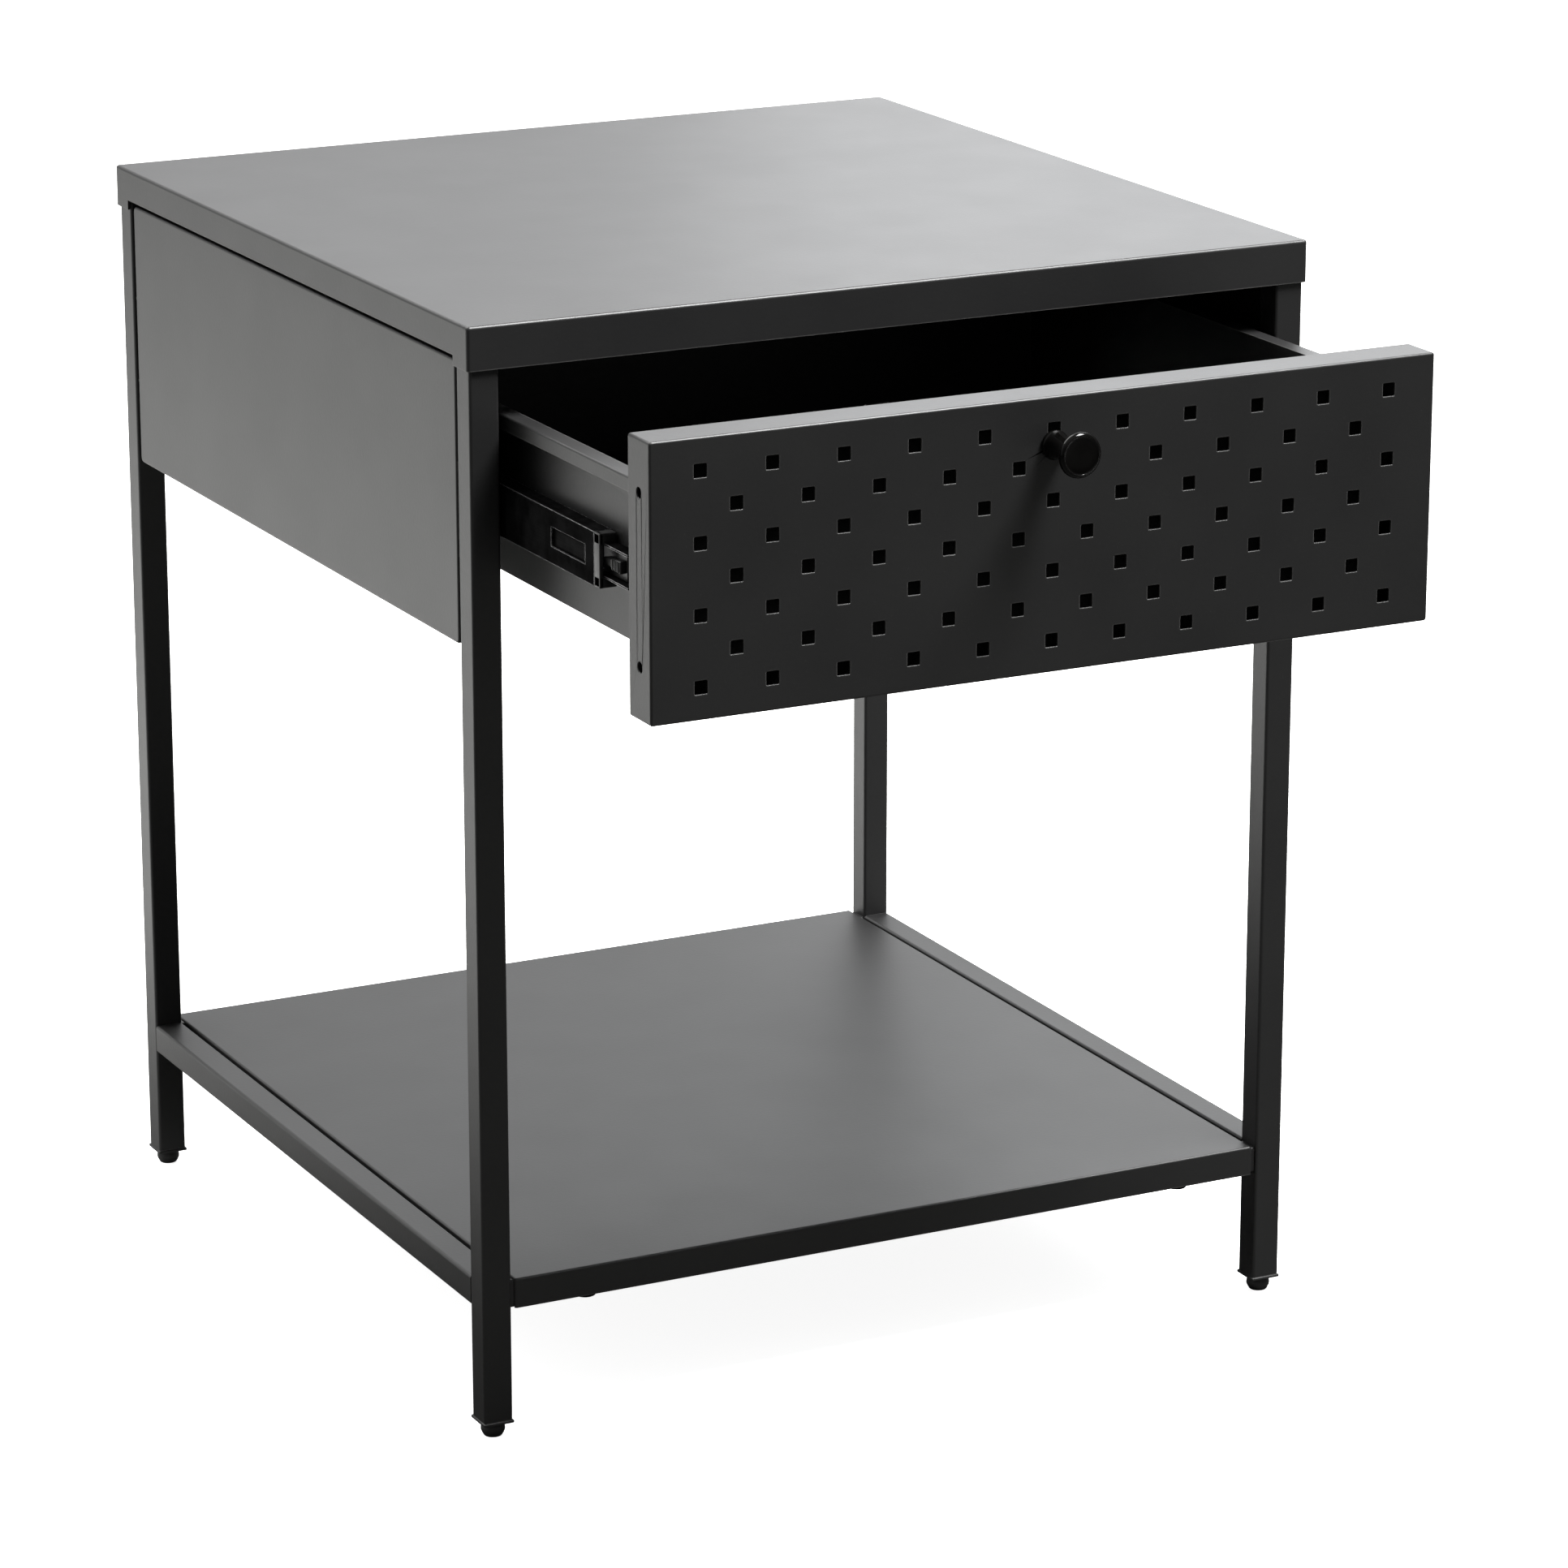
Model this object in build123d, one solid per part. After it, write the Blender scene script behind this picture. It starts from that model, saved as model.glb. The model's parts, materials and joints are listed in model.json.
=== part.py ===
from build123d import *
from math import asin, degrees
import os

# Side table with one drawer: a square steel tube frame under a folded sheet cap, a perforated drawer
# on ball-bearing slides, and a folded shelf low down between the legs. Millimetres, +Z up.
# X is across the front, the drawer opens towards -Y, and Z is 0 on the floor. The model is laid out
# about the middle of the frame, and moved to its origin as each node is written.
# It stands as it is used in the middle of its travel: the drawer is open by rest_opening.

# Overall
width = 450.0
depth = 450.0
height = 550.0

# Cap: the folded top panel
cap_sheet = 1.2
cap_clearance = 0.3  # between the cap's flanges and the legs
cap_end_flange = 21.0  # depth of the front and rear flanges
cap_side_flange = 16.0
cap_bend_radius = 1.5
cap_corner_radius = 1.8

# Frame tube
tube_size = 15.0
tube_wall = 1.2
tube_corner_radius = 1.5
foot_height = 9.0

# Glide foot
glide_flange_height = 1.6
glide_overlap = 0.5  # flange beyond the tube on each side
glide_plug_height = 14.0
glide_plug_wall = 1.5
glide_pad_radius = 5.95
glide_sole_radius = 4.5
glide_neck_radius = 5.2
glide_pad_low = 2.6  # the pad is widest between these two heights
glide_pad_high = 4.6
glide_edge_round = 0.6

# Case: side and rear panels
case_height = 155.0  # top of the cap to the lowest edge of the panels and of the drawer front
panel_sheet = 1.0
panel_gap = 2.5  # shadow gap around a side panel
panel_recess = 0.5  # panel face behind the face of the legs
panel_flange = 12.0
panel_bend_radius = 1.2
panel_corner_radius = 3.0

# Shelf
shelf_top = 81.0
shelf_sheet = 1.0
shelf_lip = 15.0  # depth of the front and rear lips
shelf_side_flange = 10.0
shelf_gap = 2.0  # to the legs and the side rails
shelf_rail_depth = 12.0
stiffener_width = 40.0
stiffener_drop = 12.0
shelf_screw_spacing = 332.0
top_screw_spacing = 300.0

# Slides, ball-bearing, three members
slide_height = 35.0
slide_thickness = 12.7
slide_sheet = 1.2  # cabinet member
middle_sheet = 1.0  # middle and drawer members
slide_setback = 3.5  # closed drawer front to the front end of the members
ball_diameter = 3.0
ball_clearance = 0.3  # ball to each raceway
middle_offset = 3.2  # cabinet face to the middle member's web
inner_offset = 5.7  # cabinet face to the edge of the drawer member's flanges
flange_setback = 2.2  # cabinet member's flanges stop short of the drawer side
middle_setback = 0.7
retainer_sheet = 0.5
retainer_length = 110.0
retainer_reach = 7.0
retainer_end = 5.0  # kept from the end of a member at full travel
balls_per_row = 8
bumper_length = 6.0
latch_length = 25.0
latch_setback = 8.0
support_height = 45.0
support_sheet = 1.2
slide_screw_setback = 35.0
window_length = 38.0
window_height = 10.0
window_places = (0.08, 0.5, 0.85)  # along the middle member, in shares of its length
ball_depth = 0.62  # a ball's centre, in shares of the retainer's reach
latch_grip = 0.8  # height of the latch's grip, in shares of the latch's

# Travel
rest_opening = 150.0
tray_kept_inside = 100.0  # length of the tray still under the cap when it is fully open
middle_share = 0.84  # middle member's travel for each millimetre of the drawer's

# Drawer front
front_thickness = 22.0
front_sheet = 1.0
front_side_gap = 4.5  # to each leg
front_top_gap = 4.0  # to the cap's front flange
front_bend_radius = 1.2
front_corner_radius = 1.4
hole_size = 6.5
hole_columns = 21
hole_rows = 7
hole_side_margin = 25.0
hole_end_margin = 15.35
return_hole_radius = 2.5
return_hole_margin = 25.0
backing_sheet = 0.8
backing_clearance = 0.2

# Drawer tray
tray_rear_clearance = 75.0  # closed tray to the back of the frame
tray_height = 80.0
tray_sheet = 1.0
tray_rise = 30.0  # underside above the case's lowest edge
rim_inset = 0.3  # rim's outer face inside the side of the drawer front
rim_lip = 7.0
rear_hem = 8.0
notch_width = 14.0
notch_height = 9.0
notch_spacing = 208.0
slide_rise = 35.0  # slide centre above the tray's underside
front_screw_spread = 0.8  # screws into the drawer front, in shares of the tray's half width
front_screw_margin = 0.25  # and from its top and bottom, in shares of its height
rivet_places = (0.36, 0.9)  # along the tray, in shares of its length

# Knob
knob_drop = 22.5
knob_length = 26.0
knob_head_radius = 10.75
knob_waist_radius = 5.6
knob_base_radius = 7.0
knob_base_height = 2.0
knob_waist_at = 9.4  # distances from the drawer front
knob_flare_at = 16.1
knob_flare_radius = 6.4
knob_swell_at = 20.5
knob_swell_radius = 8.6
knob_rim_at = 23.4
knob_rim_round = 1.6
knob_face_rise = 0.4
knob_screw_length = 12.0

# Fasteners
m4_shank = 2.0
m4_head = 4.0
m4_head_height = 2.4
m5_shank = 2.5
m5_head = 5.5
m5_head_height = 2.2
thread_clearance = 0.05
hole_clearance = 0.2
flat_head_height = 0.5
head_round = 0.45  # rounding of a pan head, in shares of its height
recess_width = 0.25  # arm of a cross recess, in shares of the head's radius
weld_nut_radius = 4.5
weld_nut_height = 5.0
rivet_radius = 3.0
rivet_height = 1.0
overshoot = 1.0  # how far a cutting tool runs past a face

# Places worked out from the sizes above
leg_outer_x = width / 2 - cap_sheet - cap_clearance
leg_outer_y = depth / 2 - cap_sheet - cap_clearance
leg_inner_x = leg_outer_x - tube_size
leg_inner_y = leg_outer_y - tube_size
frame_top = height - cap_sheet
rail_underside = frame_top - tube_size
shelf_underside = shelf_top - shelf_lip

case_bottom = height - case_height
tray_bottom = case_bottom + tray_rise
tray_top = tray_bottom + tray_height
tray_half = leg_inner_x - slide_thickness
slide_z = tray_bottom + slide_rise

tray_length = 2 * leg_outer_y - front_thickness - tray_rear_clearance
slide_length = tray_length
full_opening = tray_length - tray_kept_inside
front_face_y = -leg_outer_y - rest_opening
front_back_y = front_face_y + front_thickness
front_half = leg_inner_x - front_side_gap
rim_half = front_half - rim_inset
front_top = height - cap_end_flange - front_top_gap
tray_rear_y = front_back_y + tray_length

slide_front_y = -leg_outer_y + front_thickness + slide_setback
middle_half = slide_height / 2 - slide_sheet - ball_diameter - 2 * ball_clearance
inner_half = middle_half - middle_sheet - ball_diameter - 2 * ball_clearance
middle_travel = full_opening * middle_share
knob_y = front_face_y - knob_length

# Origin: on the floor, midway between the knob's face and the back of the cap
origin_y = (knob_y + depth / 2) / 2


def span_box(low, high):
    """A block between two corners."""
    size = [high[i] - low[i] for i in range(3)]
    return Pos(*low) * Box(*size, align=(Align.MIN, Align.MIN, Align.MIN))


def axis_of(letter):
    """The build123d axis named by its letter."""
    return {"X": Axis.X, "Y": Axis.Y, "Z": Axis.Z}[letter]


def square_tube(low, high, run, wall, radius):
    """A rectangular tube between two corners, running along the axis named by run."""
    index = "XYZ".index(run)
    outer = span_box(low, high)
    outer = fillet(outer.edges().filter_by(axis_of(run)), radius)
    inner_low = [value + wall for value in low]
    inner_high = [value - wall for value in high]
    inner_low[index] = low[index] - overshoot
    inner_high[index] = high[index] + overshoot
    inner = span_box(inner_low, inner_high)
    inner = fillet(inner.edges().filter_by(axis_of(run)), max(radius - wall, wall / 4))
    return outer - inner


def pan(low, high, opening, sheet, bend_radius, corner_radius):
    """A folded sheet pan with one face and four flanges, open towards opening, such as "-Z"."""
    sign = 1 if opening[0] == "+" else -1
    letter = opening[1]
    index = "XYZ".index(letter)

    def rounded(solid, corner, bend):
        solid = fillet(solid.edges().filter_by(axis_of(letter)), corner)
        faces = solid.faces().filter_by(axis_of(letter)).sort_by(axis_of(letter))
        face = faces[0] if sign > 0 else faces[-1]
        return fillet(face.edges(), bend)

    outer = rounded(span_box(low, high), corner_radius, bend_radius)
    inner_low = [value + sheet for value in low]
    inner_high = [value - sheet for value in high]
    if sign > 0:
        inner_high[index] = high[index] + overshoot
    else:
        inner_low[index] = low[index] - overshoot
    smallest = sheet / 4
    inner_corner = max(corner_radius - sheet, 2 * smallest)
    inner_bend = min(max(bend_radius - sheet, smallest), inner_corner - smallest / 2)
    return outer - rounded(span_box(inner_low, inner_high), inner_corner, inner_bend)


def channel(low, high, run, opening, sheet, radius):
    """A C channel running along one axis and open towards another, such as "+X"."""
    index = "XYZ".index(opening[1])
    sign = 1 if opening[0] == "+" else -1
    outer = span_box(low, high)
    edges = outer.edges().filter_by(axis_of(run)).sort_by(axis_of(opening[1]))
    outer = fillet(edges[:2] if sign > 0 else edges[-2:], radius)
    inner_low = [value + sheet for value in low]
    inner_high = [value - sheet for value in high]
    run_index = "XYZ".index(run)
    inner_low[run_index] = low[run_index] - overshoot
    inner_high[run_index] = high[run_index] + overshoot
    if sign > 0:
        inner_high[index] = high[index] + overshoot
    else:
        inner_low[index] = low[index] - overshoot
    return outer - span_box(inner_low, inner_high)


def cylinder_between(start, direction, radius, length):
    """A cylinder from start along a unit direction."""
    plane = Plane(origin=start, z_dir=direction)
    return plane.location * Cylinder(radius, length, align=(Align.CENTER, Align.CENTER, Align.MIN))


def screw(seat, direction, shank_radius, head_radius, head_height, length):
    """A pan-head screw with a cross recess: its head rests on seat, and its shank runs along direction."""
    head = Cylinder(head_radius, head_height, align=(Align.CENTER, Align.CENTER, Align.MAX))
    head = fillet(head.edges().sort_by(Axis.Z)[0], head_height * head_round)
    recess = Box(head_radius, head_radius * recess_width, head_height)
    recess += Rot(0, 0, 90) * recess
    body = head + Cylinder(shank_radius, length, align=(Align.CENTER, Align.CENTER, Align.MIN))
    body -= Pos(0, 0, -head_height) * recess
    return Plane(origin=seat, z_dir=direction).location * body


def group(solids):
    """Several separate solids as one node."""
    return Compound(children=list(solids))


def mirrored(shape):
    """The same piece on the other side of the table."""
    return mirror(shape, about=Plane.YZ)


def save(name, shape):
    """Write one node, moved from the frame's middle to the origin."""
    export_step(Pos(0, -origin_y, 0) * shape, os.path.join("parts", name + ".step"))


def save_pair(left_name, right_name, shape):
    """Write a left-hand piece and its mirror image."""
    save(left_name, shape)
    save(right_name, mirrored(shape))


def make_legs_and_feet():
    """Four square tube legs, each with a plastic glide pressed into its lower end."""
    for end_name, sign in (("front", -1), ("rear", 1)):
        near, far = sorted((sign * leg_inner_y, sign * leg_outer_y))
        low = (-leg_outer_x, near, foot_height)
        high = (-leg_inner_x, far, frame_top)
        leg = square_tube(low, high, "Z", tube_wall, tube_corner_radius)
        save_pair(end_name + "_left_leg", end_name + "_right_leg", leg)
        middle = Pos(-(leg_inner_x + leg_outer_x) / 2, sign * (leg_inner_y + leg_outer_y) / 2, 0)
        save_pair(end_name + "_left_foot", end_name + "_right_foot", middle * glide_foot())


def glide_foot():
    """A glide: a round pad on the floor, a square flange under the tube and a hollow plug inside it."""
    flange_bottom = foot_height - glide_flange_height
    outline = Polyline(
        (0, 0), (glide_sole_radius, 0), (glide_pad_radius, glide_pad_low), (glide_pad_radius, glide_pad_high),
        (glide_neck_radius, flange_bottom), (0, flange_bottom), close=True)
    profile = Plane.XZ * make_face(outline)
    pad = revolve(profile, Axis.Z)
    sole_edges = pad.edges().filter_by(GeomType.CIRCLE).group_by(Axis.Z)[0]
    pad = fillet(sole_edges, glide_edge_round)
    half = tube_size / 2 + glide_overlap
    flange = span_box((-half, -half, flange_bottom), (half, half, foot_height))
    flange = fillet(flange.edges().filter_by(Axis.Z), tube_corner_radius)
    flange = fillet(flange.faces().sort_by(Axis.Z)[0].edges(), glide_edge_round)
    plug_half = tube_size / 2 - tube_wall - thread_clearance
    plug_top = foot_height + glide_plug_height
    plug = span_box((-plug_half, -plug_half, foot_height), (plug_half, plug_half, plug_top))
    plug = fillet(plug.edges().filter_by(Axis.Z), glide_plug_wall / 2)
    hollow_half = plug_half - glide_plug_wall
    plug -= span_box((-hollow_half, -hollow_half, foot_height + glide_plug_wall),
                     (hollow_half, hollow_half, plug_top + overshoot))
    return pad + flange + plug


def make_frame_rails():
    """Rails welded between the legs: four under the cap, and one each side level with the shelf."""
    low = (-leg_outer_x, -leg_inner_y, rail_underside)
    high = (-leg_inner_x, leg_inner_y, frame_top)
    save_pair("upper_left_rail", "upper_right_rail",
              square_tube(low, high, "Y", tube_wall, tube_corner_radius))
    low = (-leg_outer_x, -leg_inner_y, shelf_top - tube_size)
    high = (-leg_inner_x, leg_inner_y, shelf_top)
    save_pair("lower_left_rail", "lower_right_rail",
              square_tube(low, high, "Y", tube_wall, tube_corner_radius))
    for name, sign in (("upper_front_rail", -1), ("upper_rear_rail", 1)):
        near, far = sorted((sign * leg_inner_y, sign * leg_outer_y))
        rail = square_tube((-leg_inner_x, near, rail_underside), (leg_inner_x, far, frame_top),
                           "X", tube_wall, tube_corner_radius)
        middle = sign * (leg_inner_y + leg_outer_y) / 2
        save(name, rail - screw_passages(top_screw_spacing, middle, rail_underside, frame_top))


def screw_passages(spacing, y, bottom, top):
    """Cutting tools for two screws that pass up through a rail into weld nuts let into its top."""
    tools = []
    for x in (-spacing / 2, spacing / 2):
        shank = cylinder_between((x, y, bottom - overshoot), (0, 0, 1), m5_shank + hole_clearance,
                                 top - bottom + 2 * overshoot)
        pocket = cylinder_between((x, y, top - 2 * tube_wall), (0, 0, 1), weld_nut_radius + hole_clearance,
                                  2 * tube_wall + overshoot)
        tools.append(shank + pocket)
    return tools[0] + tools[1]


def make_screws_and_weld_nuts(kind, spacing, y, bottom, top):
    """The screws of a cap or shelf, up through the front and rear rails, and the nuts welded under it."""
    screws = []
    nuts = []
    for x in (-spacing / 2, spacing / 2):
        for side in (-y, y):
            nut = cylinder_between((x, side, top - weld_nut_height), (0, 0, 1), weld_nut_radius,
                                   weld_nut_height)
            nut -= cylinder_between((x, side, top - weld_nut_height - overshoot), (0, 0, 1),
                                    m5_shank + thread_clearance, weld_nut_height + 2 * overshoot)
            nuts.append(nut)
            length = top - bottom - tube_wall
            screws.append(screw((x, side, bottom), (0, 0, 1), m5_shank, m5_head, m5_head_height, length))
    save(kind + "_weld_nuts", group(nuts))
    save(kind + "_screws", group(screws))


def make_top_panel():
    """The folded cap: its front and rear flanges turn the corners, and its side flanges are shallower."""
    low = (-width / 2, -depth / 2, height - cap_end_flange)
    high = (width / 2, depth / 2, height)
    cap = pan(low, high, "-Z", cap_sheet, cap_bend_radius, cap_corner_radius)
    step = span_box((width / 2 - 2 * cap_sheet, -leg_inner_y, height - cap_end_flange - overshoot),
                    (width / 2 + overshoot, leg_inner_y, height - cap_side_flange))
    save("top_panel", cap - step - mirrored(step))
    middle = (leg_inner_y + leg_outer_y) / 2
    make_screws_and_weld_nuts("top", top_screw_spacing, middle, rail_underside, frame_top)


def make_case_panels():
    """Side panels with a shadow gap, the hat channels that carry them and the slides, and the rear panel."""
    face_x = -leg_outer_x + panel_recess
    support_low = (face_x + panel_sheet, -leg_inner_y, slide_z - support_height / 2)
    support_high = (-leg_inner_x, leg_inner_y, slide_z + support_height / 2)
    support = channel(support_low, support_high, "Y", "-X", support_sheet, support_sheet)
    for y in slide_screw_places():
        support -= cylinder_between((-leg_inner_x + overshoot, y, slide_z), (-1, 0, 0),
                                    m4_shank + thread_clearance, support_sheet + 2 * overshoot)
    low = (face_x, -leg_inner_y + panel_gap, case_bottom)
    high = (face_x + panel_flange, leg_inner_y - panel_gap, rail_underside - panel_gap)
    side = pan(low, high, "+X", panel_sheet, panel_bend_radius, panel_corner_radius)
    side -= span_box((face_x + panel_sheet, -leg_inner_y, slide_z - support_height / 2 - hole_clearance),
                     (-leg_inner_x, leg_inner_y, slide_z + support_height / 2 + hole_clearance))
    save_pair("left_side_panel", "right_side_panel", side)
    save_pair("left_slide_support", "right_slide_support", support)
    low = (-leg_inner_x, leg_outer_y - panel_recess - panel_flange, case_bottom)
    high = (leg_inner_x, leg_outer_y - panel_recess, rail_underside)
    rear = pan(low, high, "-Y", panel_sheet, panel_bend_radius, panel_corner_radius)
    head_y = (leg_inner_y + leg_outer_y) / 2
    for x in (-top_screw_spacing / 2, top_screw_spacing / 2):
        rear -= cylinder_between((x, head_y, rail_underside - m5_head_height - hole_clearance), (0, 0, 1),
                                 m5_head + hole_clearance, m5_head_height + overshoot)
    save("rear_panel", rear)


def make_shelf():
    """The shelf pan on its two cross rails, with a stiffener along its middle."""
    half_x = leg_inner_x - shelf_gap
    half_y = leg_outer_y - panel_recess
    low = (-half_x, -half_y, shelf_underside)
    high = (half_x, half_y, shelf_top)
    shelf = pan(low, high, "-Z", shelf_sheet, panel_bend_radius, panel_corner_radius / 2)
    for side in (1, -1):
        x_span = sorted((side * (half_x - 2 * shelf_sheet), side * (half_x + overshoot)))
        shelf -= span_box((x_span[0], -half_y + shelf_sheet, shelf_underside - overshoot),
                          (x_span[1], half_y - shelf_sheet, shelf_top - shelf_side_flange))
        for end in (1, -1):
            y_span = sorted((end * leg_inner_y, end * (half_y - shelf_sheet)))
            shelf -= span_box((x_span[0], y_span[0], shelf_underside - overshoot),
                              (x_span[1], y_span[1], shelf_top - shelf_sheet))
    save("shelf_panel", shelf)
    rail_outer = half_y - shelf_sheet - cap_clearance
    rail_inner = rail_outer - shelf_rail_depth
    rail_middle = (rail_outer + rail_inner) / 2
    rail_top = shelf_top - shelf_sheet
    for name, sign in (("shelf_front_rail", -1), ("shelf_rear_rail", 1)):
        near, far = sorted((sign * rail_inner, sign * rail_outer))
        rail = square_tube((-leg_inner_x, near, shelf_underside), (leg_inner_x, far, rail_top),
                           "X", tube_wall, tube_corner_radius)
        passages = screw_passages(shelf_screw_spacing, sign * rail_middle, shelf_underside, rail_top)
        save(name, rail - passages)
    make_screws_and_weld_nuts("shelf", shelf_screw_spacing, rail_middle, shelf_underside, rail_top)
    low = (-stiffener_width / 2, -rail_inner + shelf_gap, rail_top - stiffener_drop)
    high = (stiffener_width / 2, rail_inner - shelf_gap, rail_top)
    save("shelf_stiffener", channel(low, high, "Y", "+Z", shelf_sheet, shelf_sheet))


def slide_screw_places():
    """Where the cabinet members are screwed to their supports, along Y."""
    first = slide_front_y + slide_screw_setback
    last = slide_front_y + slide_length - slide_screw_setback
    return (first, (first + last) / 2, last)


def member(offset, reach, half_height, opening, sheet, front_y, rear_y):
    """A slide member: a C channel between two distances from the cabinet face."""
    low = (-leg_inner_x + offset, front_y, slide_z - half_height)
    high = (-leg_inner_x + reach, rear_y, slide_z + half_height)
    return channel(low, high, "Y", opening, sheet, sheet)


def make_cabinet_members():
    """The fixed members of the slides, screwed to the supports with flat-headed screws."""
    rear_y = slide_front_y + slide_length
    fixed = member(0, slide_thickness - flange_setback, slide_height / 2, "+X", slide_sheet,
                   slide_front_y, rear_y)
    screws = []
    for y in slide_screw_places():
        seat = (-leg_inner_x + slide_sheet, y, slide_z)
        fixed -= cylinder_between((-leg_inner_x - overshoot, y, slide_z), (1, 0, 0),
                                  m4_shank + hole_clearance, slide_sheet + 2 * overshoot)
        head = cylinder_between(seat, (1, 0, 0), m4_head, flat_head_height)
        shank = cylinder_between(seat, (-1, 0, 0), m4_shank, slide_sheet + 2 * support_sheet)
        screws.append(head + shank)
    save_pair("left_slide_cabinet_member", "right_slide_cabinet_member", fixed)
    save("cabinet_slide_screws", group(screws + [mirrored(piece) for piece in screws]))


def make_middle_members():
    """The middle members, each with windows in its web and a plastic bumper on its front end."""
    shift = -rest_opening * middle_share
    front_y = slide_front_y + bumper_length + shift
    rear_y = slide_front_y + slide_length + shift
    reach = slide_thickness - middle_setback
    middle = member(middle_offset, reach, middle_half, "+X", middle_sheet, front_y, rear_y)
    span = rear_y - front_y
    web_x = -leg_inner_x + middle_offset + middle_sheet / 2
    for share in window_places:
        window = Box(4 * middle_sheet, window_length, window_height)
        window = fillet(window.edges().filter_by(Axis.X), window_height / 2 - middle_sheet / 4)
        middle -= Pos(web_x, front_y + span * share, slide_z) * window
    save_pair("left_slide_middle_member", "right_slide_middle_member", middle)
    bumper = member(middle_offset, reach, middle_half, "+X", 2 * middle_sheet,
                    front_y - bumper_length, front_y)
    save_pair("left_slide_bumper", "right_slide_bumper", bumper)


def make_ball_retainers():
    """The two ball retainers of each slide, one for each pair of members that roll on each other."""
    middle_at_rest = rest_opening * middle_share
    stages = (
        ("outer", slide_front_y + retainer_end + (middle_travel - middle_at_rest) / 2,
         (slide_sheet + middle_offset + retainer_sheet / 2) / 2 - retainer_sheet / 2,
         middle_half + ball_clearance + ball_diameter / 2),
        ("inner", inner_retainer_front(),
         middle_offset + middle_sheet + retainer_sheet,
         inner_half + ball_clearance + ball_diameter / 2),
    )
    for stage, front_y, offset, row_z in stages:
        half = row_z + retainer_sheet / 2
        reach = offset + retainer_reach
        strip = member(offset, reach, half, "+X", retainer_sheet, front_y, front_y + retainer_length)
        ball_x = -leg_inner_x + offset + retainer_reach * ball_depth
        pitch = retainer_length / balls_per_row
        balls = []
        for index in range(balls_per_row):
            for sign in (-1, 1):
                centre = (ball_x, front_y + pitch * (index + 0.5), slide_z + sign * row_z)
                strip -= Pos(*centre) * Sphere(ball_diameter / 2 + 2 * thread_clearance)
                balls.append(Pos(*centre) * Sphere(ball_diameter / 2))
        save_pair("left_" + stage + "_ball_retainer", "right_" + stage + "_ball_retainer", strip)
        save("left_" + stage + "_balls", group(balls))
        save("right_" + stage + "_balls", group([mirrored(ball) for ball in balls]))


def inner_retainer_front():
    """Front end of the inner retainer at rest, so that it stays on both members at full travel."""
    share = (1 + middle_share) / 2
    at_full = slide_front_y + bumper_length - middle_travel + retainer_end
    return at_full + share * (full_opening - rest_opening)


def make_drawer_members():
    """The drawer members of the slides, their screws into the tray, and their release latches."""
    front_y = slide_front_y - rest_opening
    inner = member(inner_offset, slide_thickness, inner_half, "-X", middle_sheet, front_y,
                   front_y + slide_length)
    screws = []
    head_height = 2 * flat_head_height
    seat_x = -leg_inner_x + slide_thickness - middle_sheet
    for y in drawer_screw_places():
        inner -= cylinder_between((seat_x - overshoot, y, slide_z), (1, 0, 0),
                                  m4_shank + hole_clearance, middle_sheet + 2 * overshoot)
        head = cylinder_between((seat_x, y, slide_z), (-1, 0, 0), m4_head, head_height)
        shank = cylinder_between((seat_x, y, slide_z), (1, 0, 0), m4_shank,
                                 middle_sheet + tray_sheet + head_height)
        screws.append(head + shank)
    save_pair("left_slide_drawer_member", "right_slide_drawer_member", inner)
    save("drawer_slide_screws", group(screws + [mirrored(piece) for piece in screws]))
    latch_half = inner_half - middle_sheet - hole_clearance
    latch_low = (-leg_inner_x + inner_offset, front_y + latch_setback, slide_z - latch_half)
    latch_high = (seat_x, front_y + latch_setback + latch_length, slide_z + latch_half)
    latch = span_box(latch_low, latch_high)
    latch = fillet(latch.edges().filter_by(Axis.X), latch_half / 3)
    grip_half = latch_half * latch_grip
    grip = span_box((latch_low[0] - overshoot, latch_low[1] + latch_length / 3, slide_z - grip_half),
                    (latch_low[0] + 2 * overshoot, latch_high[1] - latch_length / 3, slide_z + grip_half))
    save_pair("left_slide_latch", "right_slide_latch", latch - grip)


def drawer_front_holes():
    """Cutting tools for the square holes: full columns of four and columns of three between them."""
    pitch_x = 2 * (front_half - hole_side_margin) / (hole_columns - 1)
    pitch_z = (front_top - case_bottom - 2 * hole_end_margin) / (hole_rows - 1)
    middle_z = (front_top + case_bottom) / 2
    places = []
    for column in range(hole_columns):
        for row in range(column % 2, hole_rows, 2):
            x = (column - (hole_columns - 1) / 2) * pitch_x
            z = middle_z + ((hole_rows - 1) / 2 - row) * pitch_z
            places.append(Pos(x, front_face_y, z) * Box(hole_size, 4 * front_sheet, hole_size))
    return places


def make_drawer_front():
    """The perforated front pan and the plate that closes its back."""
    low = (-front_half, front_face_y, case_bottom)
    high = (front_half, front_back_y, front_top)
    front = pan(low, high, "+Y", front_sheet, front_bend_radius, front_corner_radius)
    front = front.cut(*drawer_front_holes())
    middle_y = (front_face_y + front_back_y) / 2
    for z in (case_bottom + return_hole_margin, front_top - return_hole_margin):
        front -= cylinder_between((-front_half - overshoot, middle_y, z), (1, 0, 0), return_hole_radius,
                                  2 * (front_half + overshoot))
    knob_z = front_top - knob_drop
    front -= cylinder_between((0, front_face_y - overshoot, knob_z), (0, 1, 0),
                              m4_shank + hole_clearance, front_sheet + 2 * overshoot)
    save("drawer_front", front)
    inset = front_sheet + backing_clearance
    backing = span_box((-front_half + inset, front_back_y - backing_sheet, case_bottom + inset),
                       (front_half - inset, front_back_y, front_top - inset))
    for x, z in front_screw_places():
        backing -= cylinder_between((x, front_back_y + overshoot, z), (0, -1, 0),
                                    m4_shank + thread_clearance, backing_sheet + 2 * overshoot)
    save("drawer_front_backing", fillet(backing.edges().filter_by(Axis.Y), front_corner_radius))


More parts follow.
